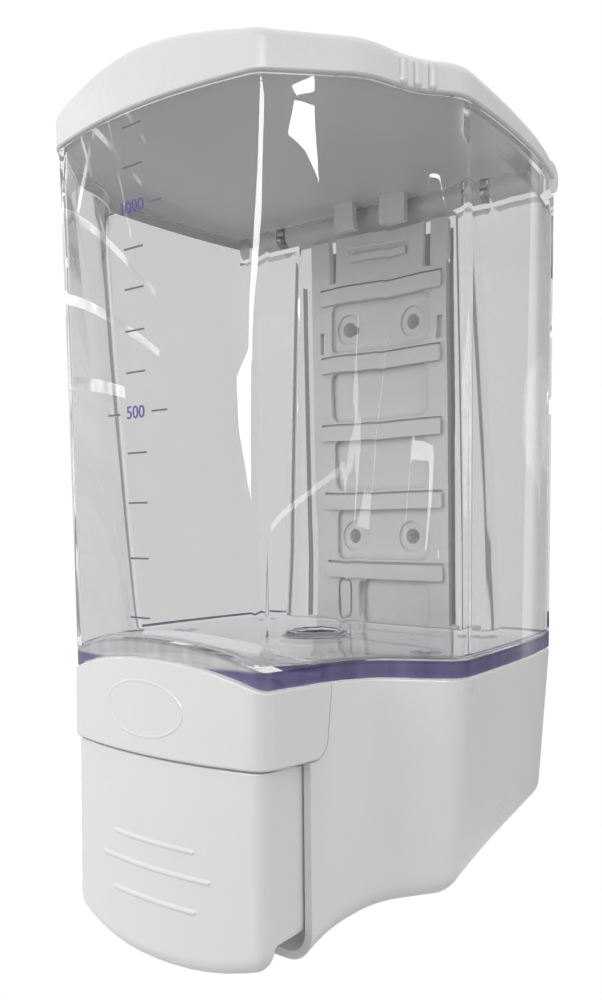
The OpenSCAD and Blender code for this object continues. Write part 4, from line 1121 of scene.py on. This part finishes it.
base = {
    "wall": 1.9, "draft": 3.4, "backDrop": 44.7, "noseDrop": 16.4, "power": 2.6, "reach": 87.0,
    "foot": 7.0, "top": -65.1, "flangeY": -91.0, "hoodLow": -82.0, "hoodBack": -86.0,
    "slant": 1.8, "gap": 0.3, "rearGap": 0.8, "lining": 1.2, "nozzleHole": (9.0, -22),
    "beam": (32.2, -91.0, -89.0, -80.3, -67.2), "pivot": (-98.0, -73.6), "pivotR": 1.5,
    "pinX": (-27, 27), "bearing": (19.0, 22.0), "bearingHole": (18, 23), "bearingR": 3.8,
    "postR": 5.0, "postTop": -72.1, "postHoleR": 1.65, "headHoleR": 3.4, "headHoleTop": -12,
    "hoodScrew": (14.0, -69.2), "hoodHoleR": 1.4, "rebate": 1.5, "cutLow": -160,
}


def footZ(y):
    reach = max(0, -y) / base["reach"]
    return seamZ - base["backDrop"] - base["noseDrop"] * reach ** base["power"]


def footHalf():
    return [(x - (base["draft"] if i > 3 else 0), y, soft)
            for i, (x, y, soft) in enumerate(seamHalf)]


def baseLoft(skin, top, edge, name):
    r = base["foot"] - skin
    rings = [ring(footHalf(), skin + inward, lambda x, y, up=up: footZ(y) + skin + up)
             for inward, up in arc(r, 9)]
    if edge:
        rings += [ring(seamHalf, skin, top - edge),
                  ring(seamHalf, skin + edge * 0.3, top - edge * 0.3)]
        rings.append(ring(seamHalf, skin + edge, top))
    else:
        rings.append(ring(seamHalf, skin, top))
    return loft(rings, lowShape=lambda x, y: footZ(y) + skin, name=name)


def hoodWing(below, behind):
    # Side view of the hood behind the beam: a slightly slanting rear edge, round below
    back, low = base["hoodBack"] + behind, base["hoodLow"] - below
    lean = base["slant"] / 2
    return rounded([(-far, low, 0), (back - lean, low, 4.5), (back + lean, seamZ + 1, 0),
                    (back + lean, seamZ + 30, 0), (-far, seamZ + 30, 0)], 8)


def makeBase():
    b = base
    obj = baseLoft(0, b["top"], 0.4, "base")
    carve(obj, bracketChannel(0))
    inner = baseLoft(b["wall"], b["top"] + 1, 0, "inside")
    carve(inner, bracketChannel(b["wall"]))
    carve(obj, inner)
    carve(obj, block((-far, -far, -far), (far, b["flangeY"], far)))
    # Rebate for the hood's sides, with a lining behind it
    lining = straight(seamHalf, b["rebate"], b["hoodLow"] + 1, b["top"])
    carve(lining, straight(seamHalf, b["rebate"] + b["lining"], b["hoodLow"], b["top"] + 1))
    keep(lining, block((-far, b["flangeY"], -far), (far, b["hoodBack"] + b["lining"], far)))
    fuse(obj, lining)
    rebate = prism(hoodWing(b["gap"], b["rearGap"]), "x", -far, far)
    carve(rebate, straight(seamHalf, b["rebate"], -100, 0))
    carve(obj, rebate)
    half, y0, y1, z0, z1 = b["beam"]
    fuse(obj, block((-half, y0, z0), (half, y1, z1)))
    py, pz = b["pivot"]
    for side in (-1, 1):
        x0, x1 = mirrored(*b["bearing"], side)
        ear = block((x0, py, pz - b["bearingR"]), (x1, b["flangeY"] + slack, pz + b["bearingR"]))
        fuse(ear, rodX(x0, x1, py, pz, b["bearingR"], 64))
        fuse(obj, ear)
        for x, y in tank["posts"]:
            fuse(obj, rodZ(footZ(y) + b["wall"] / 2, b["postTop"], side * x, y, b["postR"], 48))
    sx, sz = b["hoodScrew"]
    for side in (-1, 1):
        carve(obj, sideRod(side, *b["bearingHole"], py, pz, b["pivotR"] + tank["play"], 48))
        carve(obj, rodY(y0 - 1, y1 + 1, side * sx, sz, b["hoodHoleR"], 32))
        for x, y in tank["posts"]:
            carve(obj, rodZ(b["cutLow"], seamZ, side * x, y, b["postHoleR"], 32))
            carve(obj, rodZ(b["cutLow"], seamZ + b["headHoleTop"], side * x, y, b["headHoleR"], 48))
    holeR, holeTop = b["nozzleHole"]
    carve(obj, rodZ(b["cutLow"], seamZ + holeTop, 0, tank["pumpY"], holeR))
    return roundEdges(obj, 0.0, 40)


place(makeBase(), "base_shell", "dispenser", white, ["base_housing"])
pins("lever_pin", [base["pinX"]], *base["pivot"], base["pivotR"], ["lever_pivot_pin"])


# Screws: radius and height of the head, radius and length of the shank
screwSizes = {
    "post": (3.0, 2.0, 1.25, 11.0), "postZ": -76.8,
    "cover": (2.0, 1.6, 1.1, 8.3), "coverY": -89.0,
}


def screwSet(name, spots, sizes, turn, node):
    head, thick, shank, length = sizes
    values = {"Head": head * mm, "Thick": thick * mm, "Shank": shank * mm, "Length": length * mm,
              "Turn": turn, "Material": steel}
    obj = screws.make(name, values, spots)
    roundEdges(obj, 0.12, 50, 1)
    place(obj, name, "dispenser", steel, [node])


screwSet("post_screws", [(side * x, y, screwSizes["postZ"]) for x, y in tank["posts"]
                         for side in (-1, 1)], screwSizes["post"], (0.0, 0.0, 0.0), "base_screws")
screwX, screwZ = base["hoodScrew"]
screwSet("cover_screws", [(side * screwX, screwSizes["coverY"], screwZ) for side in (-1, 1)],
         screwSizes["cover"], (math.pi / 2, 0.0, 0.0), "hood_screws")


# Front hood

hood = {
    "proud": 0.6, "thick": 1.8, "low": -82.0, "gap": 0.3, "roofBack": -91.3, "edge": 0.7,
    "oval": (12.6, 6.4), "ovalX": -1.6, "ovalZ": -71.2, "ovalR": 0.7, "ovalSunk": 0.56,
    "ovalSteps": 96, "bossR": 2.3, "bossLength": 9.0, "bossHole": (1.15, -90),
}


def hoodTop(x, y):
    return seamZ + archLift(x, y) - hood["gap"]


def makeHood():
    h = hood
    edges = arc(h["edge"], 4)
    rings = [ring(seamHalf, inward - h["proud"], h["low"] + up) for inward, up in edges]
    rings.append(ring(seamHalf, -h["proud"], seamZ - 4))
    rings += [ring(seamHalf, inward * 0.6 - h["proud"],
                   lambda x, y, up=up: hoodTop(x, y) - up * 0.6) for inward, up in edges[::-1]]
    obj = loft(rings, highShape=hoodTop, name="hood")
    keep(obj, prism(hoodWing(0, 0), "x", -far, far))
    inset = h["thick"] - h["proud"]
    under = loft([ring(seamHalf, inset, h["low"] - 1),
                  ring(seamHalf, inset, seamZ - 5),
                  ring(seamHalf, inset, lambda x, y: hoodTop(x, y) - h["thick"])],
                 highShape=lambda x, y: hoodTop(x, y) - h["thick"], name="under")
    carve(obj, under)
    openBack = straight(seamHalf, inset, h["low"] - 1, seamZ + 20)
    keep(openBack, block((-far, h["roofBack"], -far), (far, far, far)))
    carve(obj, openBack)
    half, high = h["oval"]
    loop = []
    for k in range(h["ovalSteps"]):
        a = 2 * math.pi * k / h["ovalSteps"]
        x, z = h["ovalX"] + half * math.cos(a), h["ovalZ"] + high * math.sin(a)
        loop.append((x, frontY(seamHalf, -h["proud"], x) + h["ovalSunk"], z))
    fuse(obj, tube.make("oval", {"Radius": h["ovalR"] * mm, "Sides": 20, "Closed": True,
                                 "Material": white}, loop, chained=True))
    x, z = base["hoodScrew"]
    front, (holeR, holeEnd) = h["roofBack"] - h["bossLength"], h["bossHole"]
    for side in (-1, 1):
        boss = rodY(front, h["roofBack"], side * x, z, h["bossR"], 48)
        fuse(boss, sideBlock(side, (x - 1, front, z), (x + 1, h["roofBack"], seamZ + 3)))
        carve(boss, rodY(front + 1, holeEnd, side * x, z, holeR, 32))
        fuse(obj, boss)
    return roundEdges(obj, 0.0, 35)


place(makeHood(), "front_cover", "dispenser", white, ["front_hood"])


# Push lever

lever = {
    "half": 31.3, "backY": -81.5, "endY": -85.5, "gap": 0.3, "thick": 2.2, "drop": 66.4,
    "edge": 5.0, "top": -82.5, "lipTop": -78.2, "lipInset": 1.7, "lipBack": -93,
    "frontY": -108.4, "cheekLow": -120.6, "cheekTop": -83.3, "cheekFront": 7.6,
    "sag": 4, "sagPower": 2.5, "footSlope": 0.2,
    "ear": (23.2, 26.2), "earR": 3.8, "earFront": -103.8, "pinHole": (22.5, 27.2),
    "ribs": [(-101.9, 13.6), (-108.0, 18.0), (-115.4, 13.9)], "ribR": 0.85, "ribSunk": 0.5,
    "arm": (7.4, 11.4), "armFront": -106.2, "nub": (2.0, -104.75),
}
leverHalf = [(0, -111.36, 26), (lever["half"], -104.4, 3.5), (lever["half"], lever["backY"], 1)]


def leverLow(x, y):
    v = lever
    return (seamZ - v["drop"] + v["sag"] * (abs(x) / v["half"]) ** v["sagPower"]
            + v["footSlope"] * (y - v["frontY"]))


def leverLoft(skin, top, name):
    r = max(1, lever["edge"] - skin)
    inset = lever["gap"] + skin
    rings = [ring(leverHalf, inset + inward, lambda x, y, up=up: leverLow(x, y) + skin + up)
             for inward, up in arc(r, 8)]
    if skin:
        rings.append(ring(leverHalf, inset, top))
    else:
        rings += [ring(leverHalf, inset, top - 0.5), ring(leverHalf, inset + 0.15, top - 0.15),
                  ring(leverHalf, inset + 0.5, top)]
    return loft(rings, lowShape=lambda x, y: leverLow(x, y) + skin, name=name)


def makeLever():
    v = lever
    obj = leverLoft(0, v["top"], "lever")
    fuse(obj, straight(leverHalf, v["lipInset"], v["top"] - 3, v["lipTop"]))
    cheekY = v["frontY"] + v["cheekFront"]
    profile = rounded([(-far, -far, 0), (cheekY, -far, 0), (cheekY, v["cheekLow"], 1.2),
                       (v["endY"], v["cheekLow"], 5.5), (v["endY"], v["cheekTop"], 2.0),
                       (v["lipBack"], v["cheekTop"], 0.8), (v["lipBack"], far, 0),
                       (-far, far, 0)], 8)
    keep(obj, prism(profile, "x", -far, far))
    carve(obj, leverLoft(v["thick"], v["lipTop"] + 1, "hollow"))
    for z, half in v["ribs"]:
        fuse(obj, fingerRib(z, half))
    py, pz = base["pivot"]
    nubR, nubZ = v["nub"]
    for side in (-1, 1):
        x0, x1 = mirrored(*v["ear"], side)
        ear = block((x0, py - v["earR"], v["top"] - 6), (x1, py + v["earR"], pz))
        fuse(ear, rodX(x0, x1, py, pz, v["earR"], 64))
        fuse(ear, block((x0 + 0.01, v["earFront"], v["top"] - 6.01),
                        (x1 - 0.01, py, v["lipTop"])))
        fuse(obj, ear)
        x0, x1 = mirrored(*v["arm"], side)
        armLow, middle = nubZ - nubR - 1, (x0 + x1) / 2
        arm = block((x0, v["armFront"], armLow), (x1, tank["pumpY"] + nubR - 0.5,
                                                  nubZ + nubR / 2))
        fuse(arm, rodX(x0, x1, tank["pumpY"], nubZ, nubR, 48))
        fuse(arm, block((middle - 1, v["armFront"], armLow - 6),
                        (middle + 1, base["flangeY"] + 10, armLow + slack)))
        fuse(obj, arm)
    for side in (-1, 1):
        carve(obj, sideRod(side, *v["pinHole"], py, pz, base["pivotR"] + tank["play"], 48))
    return roundEdges(obj, 0.0, 38)


def fingerRib(z, half):
    # A bar that follows the lever's front, its round ends made of narrowing rings
    r, sunk, sides, spans, tips = lever["ribR"], lever["ribSunk"], 20, 12, 6
    ends = [half - r + r * math.sin(math.pi / 2 * k / tips) for k in range(tips + 1)]
    xs = [half * (k / spans - 1) for k in range(1, 2 * spans)]
    xs = [-x for x in reversed(ends)] + xs + ends
    xs = sorted({round(x, 4) for x in xs if abs(x) <= half})
    bm = bmesh.new()
    rows = []
    for x in xs:
        over = max(0.0, abs(x) - (half - r)) / r
        girth = r * math.sqrt(max(0.0, 1 - over * over))
        y = frontY(leverHalf, lever["gap"], x) + sunk
        turns = [2 * math.pi * k / sides for k in range(sides if girth > 0.01 else 1)]
        rows.append([bm.verts.new(Vector((x, y + girth * math.cos(a), z + girth * math.sin(a)))
                                  * mm) for a in turns])
    wrapRows(bm, rows, sides)
    return meshObject("rib", bm)


place(makeLever(), "push_plate", "lever", white, ["push_lever"])


# Pump

def mergedCopy(node, name):
    return welded(newObject(name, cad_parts[node].data.copy()))


# Plain turned parts: node, piece, body, slot, material and the rounding of the edges
pumpParts = [
    ("pump_gasket", "sealing_ring", "dispenser", "black_rubber", rubber, 0.2),
    ("pump_body", "pump_cylinder", "dispenser", "natural_plastic", naturalPlastic, 0.15),
    ("pump_nut", "union_nut", "dispenser", "white_plastic", white, 0.12),
    ("inlet_valve", "inlet_flap", "dispenser", "silicone", silicone, 0.12),
    ("plunger_stem", "pump_stem", "plunger", "natural_plastic", naturalPlastic, 0.12),
    ("lift_collar", "stem_collar", "plunger", "white_plastic", white, 0.15),
    ("piston_seal", "stem_seal", "plunger", "black_rubber", rubber, 0.1),
    ("outlet_valve", "outlet_flap", "plunger", "silicone", silicone, 0.1),
    ("nozzle", "drip_nozzle", "plunger", "white_plastic", white, 0.2),
]
for node, name, bodyName, slotName, material, edge in pumpParts:
    place(roundEdges(mergedCopy(node, name), edge, 30, 2), name, bodyName, material,
          [node])


def makeSpring():
    obj = place(mergedCopy("pump_spring", "coil_spring"), "coil_spring", "dispenser",
                steel, ["pump_spring"])
    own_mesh(obj)


makeSpring()


# Stage, light and camera

studio = {
    "floorZ": -0.80, "floorR": 0.90, "floorY": -0.05, "floor": (0.80, 0.80, 0.80),
    "above": 0.50, "below": 0.08,                         # what the world gives
    "aim": (0, -0.05, 0),                                 # lamps: place, size and power
    "lamps": {"key": ((-0.62, -0.80, 0.16), (0.9, 1.1), 7.3),
              "fill": ((0.85, -0.35, 0.15), (0.7, 1.2), 3.1),
              "top": ((0.42, -0.15, 0.80), (1.0, 0.8), 1.8)},
    "sideAhead": 0.9, "sideSpan": (0.36, 0.80), "sideHigh": 0.5, "sideLevel": 0.30,
    "rearFrom": (0.35, 1.15), "rearTo": (1.35, 0.45), "rearZ": (-0.6, 0.9), "rearLevel": 0.30,
    "wallY": 0.0002, "wallShadeLevel": 0.20,
    "eye": (0.1599, -0.2561, -0.0275), "yaw": 37.83, "roll": -0.53, "rise": 0.0016,
    "lens": 33.40, "sensor": 36.0, "shiftY": 0.0171, "clip": (0.01, 20),
}


def makeFloor():
    bm = bmesh.new()
    bmesh.ops.create_circle(bm, cap_ends=True, segments=96, radius=studio["floorR"],
                            matrix=Matrix.Translation((0, studio["floorY"], studio["floorZ"])))
    obj = meshObject("floor", bm)
    g = Graph("paleFloor")
    obj.data.materials.append(g.skin({
        "Base Color": g.tone(studio["floor"], 0.98 + g.cloud(9.0, 4.0) * 0.04),
        "Roughness": 0.7}))


def makeWorld():
    # White for what looks straight at it, softer for the light it gives
    world = bpy.data.worlds.new("studio")
    bpy.context.scene.world = world
    g = Graph("studio", world)
    seen = g.add("ShaderNodeClamp", None, {"Value": (
        g.ray("Is Camera Ray") + g.ray("Is Glossy Ray") + g.ray("Is Transmission Ray"))})
    seen = seen * (1.0 - g.ray("Diffuse Depth").between(0.4, 0.6))
    up = g.split(g.where("Generated"))[2]
    given = studio["below"] + up.between(-0.5, 0.6) * (studio["above"] - studio["below"])
    level = given * (1.0 - seen) + seen
    g.finish(g.add("ShaderNodeBackground", None, {"Color": (1, 1, 1, 1), "Strength": level}))


def softbox(name, spot, size, power):
    # Lights the pieces, and isn't mirrored in them or seen through them
    light = bpy.data.lights.new(name, "AREA")
    light.shape = "RECTANGLE"
    light.size, light.size_y = size
    light.energy = power
    obj = newObject(name, light)
    obj.location = spot
    turn = (Vector(studio["aim"]) - Vector(spot)).to_track_quat("-Z", "Y")
    obj.rotation_euler = turn.to_euler()
    obj.visible_glossy = obj.visible_transmission = False


def card(name, corners, seenBy, material):
    # A flat card outside the view; seenBy names the rays that meet it
    bm = bmesh.new()
    bm.faces.new([bm.verts.new(c) for c in corners])
    obj = meshObject(name, bm)
    obj.data.materials.append(material)
    for rays in ("camera", "diffuse", "glossy", "transmission", "shadow"):
        setattr(obj, "visible_" + rays, rays in seenBy)


def glow(name, level, patchy=False, faded=False):
    g = Graph(name)
    shade = (1, 1, 1, 1)
    if faded:
        # Dark in the middle, and white like the world towards the upright edges
        along = g.split(g.where("Generated"))[0]
        dark = (along * (1.0 - along)).between(0.0, 0.22)
        shade = g.tone((1, 1, 1), 1.0 - dark * (1.0 - level))
        level = 1.0
    elif patchy:
        shade = g.tone((1, 1, 1), g.cloud(5.0, 3.0, (1.0, 1.0, 2.5)).between(0.36, 0.60))
    return g.skin({"Base Color": (0, 0, 0, 1), "Roughness": 1.0, "Specular IOR Level": 0.0,
                   "Emission Color": shade, "Emission Strength": level})


# Bright shapes that show only as reflections: the axis and place of their plane, the level,
# and the corners in that plane, height last
glints = {
    "cornerBand": ("y", -0.90, 34.0, [(0.85, 0.50), (0.62, 0.30), (0.40, 0.22), (0.05, 0.15),
                                      (-0.10, 0.08), (-0.14, 0.0), (-0.16, -0.04), (-0.20, -0.03),
                                      (-0.235, 0.04), (-0.24, 0.10), (-0.15, 0.17), (0.12, 0.24),
                                      (0.36, 0.32), (0.55, 0.46)]),
    "lampHead": ("x", 0.25, 40.0, [(-0.237, 0.152), (-0.228, 0.145), (-0.224, 0.137),
                                   (-0.232, 0.144)]),
    "lampGlow": ("x", 0.25, 40.0, [(-0.232, 0.143), (-0.221, 0.130), (-0.202, 0.091),
                                   (-0.215, 0.112), (-0.228, 0.130)]),
    "cheekBar": ("y", -0.90, 14.0, [(0.630, -0.04), (0.645, -0.04), (0.600, -0.11),
                                    (0.552, -0.171), (0.542, -0.171), (0.588, -0.11)]),
    "cheekLine": ("x", 0.70, 9.0, [(-0.046, 0.026), (-0.036, 0.026), (-0.001, -0.07),
                                   (-0.019, -0.168), (-0.029, -0.168), (-0.013, -0.07)]),
    "highBar": ("x", -0.75, 8.0, [(0.24, 0.285), (-1.0, 0.272), (-1.0, 0.262), (0.24, 0.275)]),
    "middleBar": ("x", -0.75, 9.0, [(0.24, 0.193), (-1.0, 0.19), (-1.0, 0.178), (0.24, 0.182)]),
    "lowBar": ("x", -0.75, 9.0, [(-0.20, 0.106), (-0.66, 0.112), (-0.66, 0.098), (-0.20, 0.092)]),
    "sashA": ("x", -0.75, 8.0, [(-0.2, 0.50), (-0.21, 0.50), (-0.55, 0.27), (-0.53, 0.27)]),
    "sashB": ("x", -0.75, 8.0, [(-0.45, 0.50), (-0.465, 0.50), (-0.80, 0.28), (-0.78, 0.28)]),
    "sashC": ("x", -0.75, 8.0, [(0.20, 0.37), (-0.85, 0.40), (-0.85, 0.392), (0.20, 0.36)]),
    "sashD": ("x", -0.75, 8.0, [(-0.62, 0.50), (-0.608, 0.50), (-0.35, 0.28), (-0.368, 0.28)]),
    "sashE": ("x", -0.75, 8.0, [(0.1, 0.44), (-0.9, 0.47), (-0.9, 0.462), (0.1, 0.432)]),
}


def makeGlints():
    for name, (across, at, level, spots) in glints.items():
        corners = [(at, a, b) if across == "x" else (a, at, b) for a, b in spots]
        card(name, corners, ["glossy"], glow(name, level, at < -0.7 and across == "x"))


def makeCards():
    # Grey at both sides of the view for the clear edges, behind them, and behind the bracket
    t = studio
    yaw = math.radians(t["yaw"])
    ahead = Vector((-math.sin(yaw), math.cos(yaw), 0))
    across = Vector((math.cos(yaw), math.sin(yaw), 0))
    middle = Vector((*t["eye"][:2], 0)) + ahead * t["sideAhead"]
    high = Vector((0, 0, t["sideHigh"]))
    darkGrey = glow("darkGrey", t["sideLevel"], faded=True)
    for name, side in (("leftCard", -1), ("rightCard", 1)):
        near, away = (middle + across * side * span for span in t["sideSpan"])
        card(name, [near - high, away - high, away + high, near + high],
             ["glossy", "transmission"], darkGrey)
    (z0, z1), start, end = t["rearZ"], t["rearFrom"], t["rearTo"]
    card("rearCard", [(*start, z0), (*end, z0), (*end, z1), (*start, z1)], ["glossy"],
         glow("rearGrey", t["rearLevel"]))
    # Painted shade: a grey glowing card behind the bracket, seen only through the clear plastic,
    # darkens what shows through its slots and holes
    half = (bracket["half"] - 1) * mm
    low, high = (bracket["low"] + 1) * mm, (bracket["top"] - 1) * mm
    card("wallPatch", [(-half, t["wallY"], low), (half, t["wallY"], low),
                       (half, t["wallY"], high), (-half, t["wallY"], high)],
         ["transmission"], glow("wallShade", t["wallShadeLevel"]))


def makeCamera():
    data = bpy.data.cameras.new("camera")
    data.lens, data.sensor_width, data.sensor_fit = studio["lens"], studio["sensor"], "AUTO"
    data.shift_y = studio["shiftY"]
    data.clip_start, data.clip_end = studio["clip"]
    camera = newObject("camera", data)
    yaw, roll = math.radians(studio["yaw"]), math.radians(studio["roll"])
    forward = Vector((-math.sin(yaw), math.cos(yaw), studio["rise"])).normalized()
    right = Vector((math.cos(yaw), math.sin(yaw), 0))
    up = right.cross(forward).normalized()
    right, up = (right * math.cos(roll) + up * math.sin(roll),
                 up * math.cos(roll) - right * math.sin(roll))
    turn = Matrix((right, up, -forward)).transposed().to_4x4()
    camera.matrix_world = Matrix.Translation(studio["eye"]) @ turn
    bpy.context.scene.camera = camera


makeFloor()
makeWorld()
for name, (spot, size, power) in studio["lamps"].items():
    softbox(name, spot, size, power)
makeGlints()
makeCards()
makeCamera()
bpy.context.scene.view_settings.view_transform = "Standard"
print("stage ready")
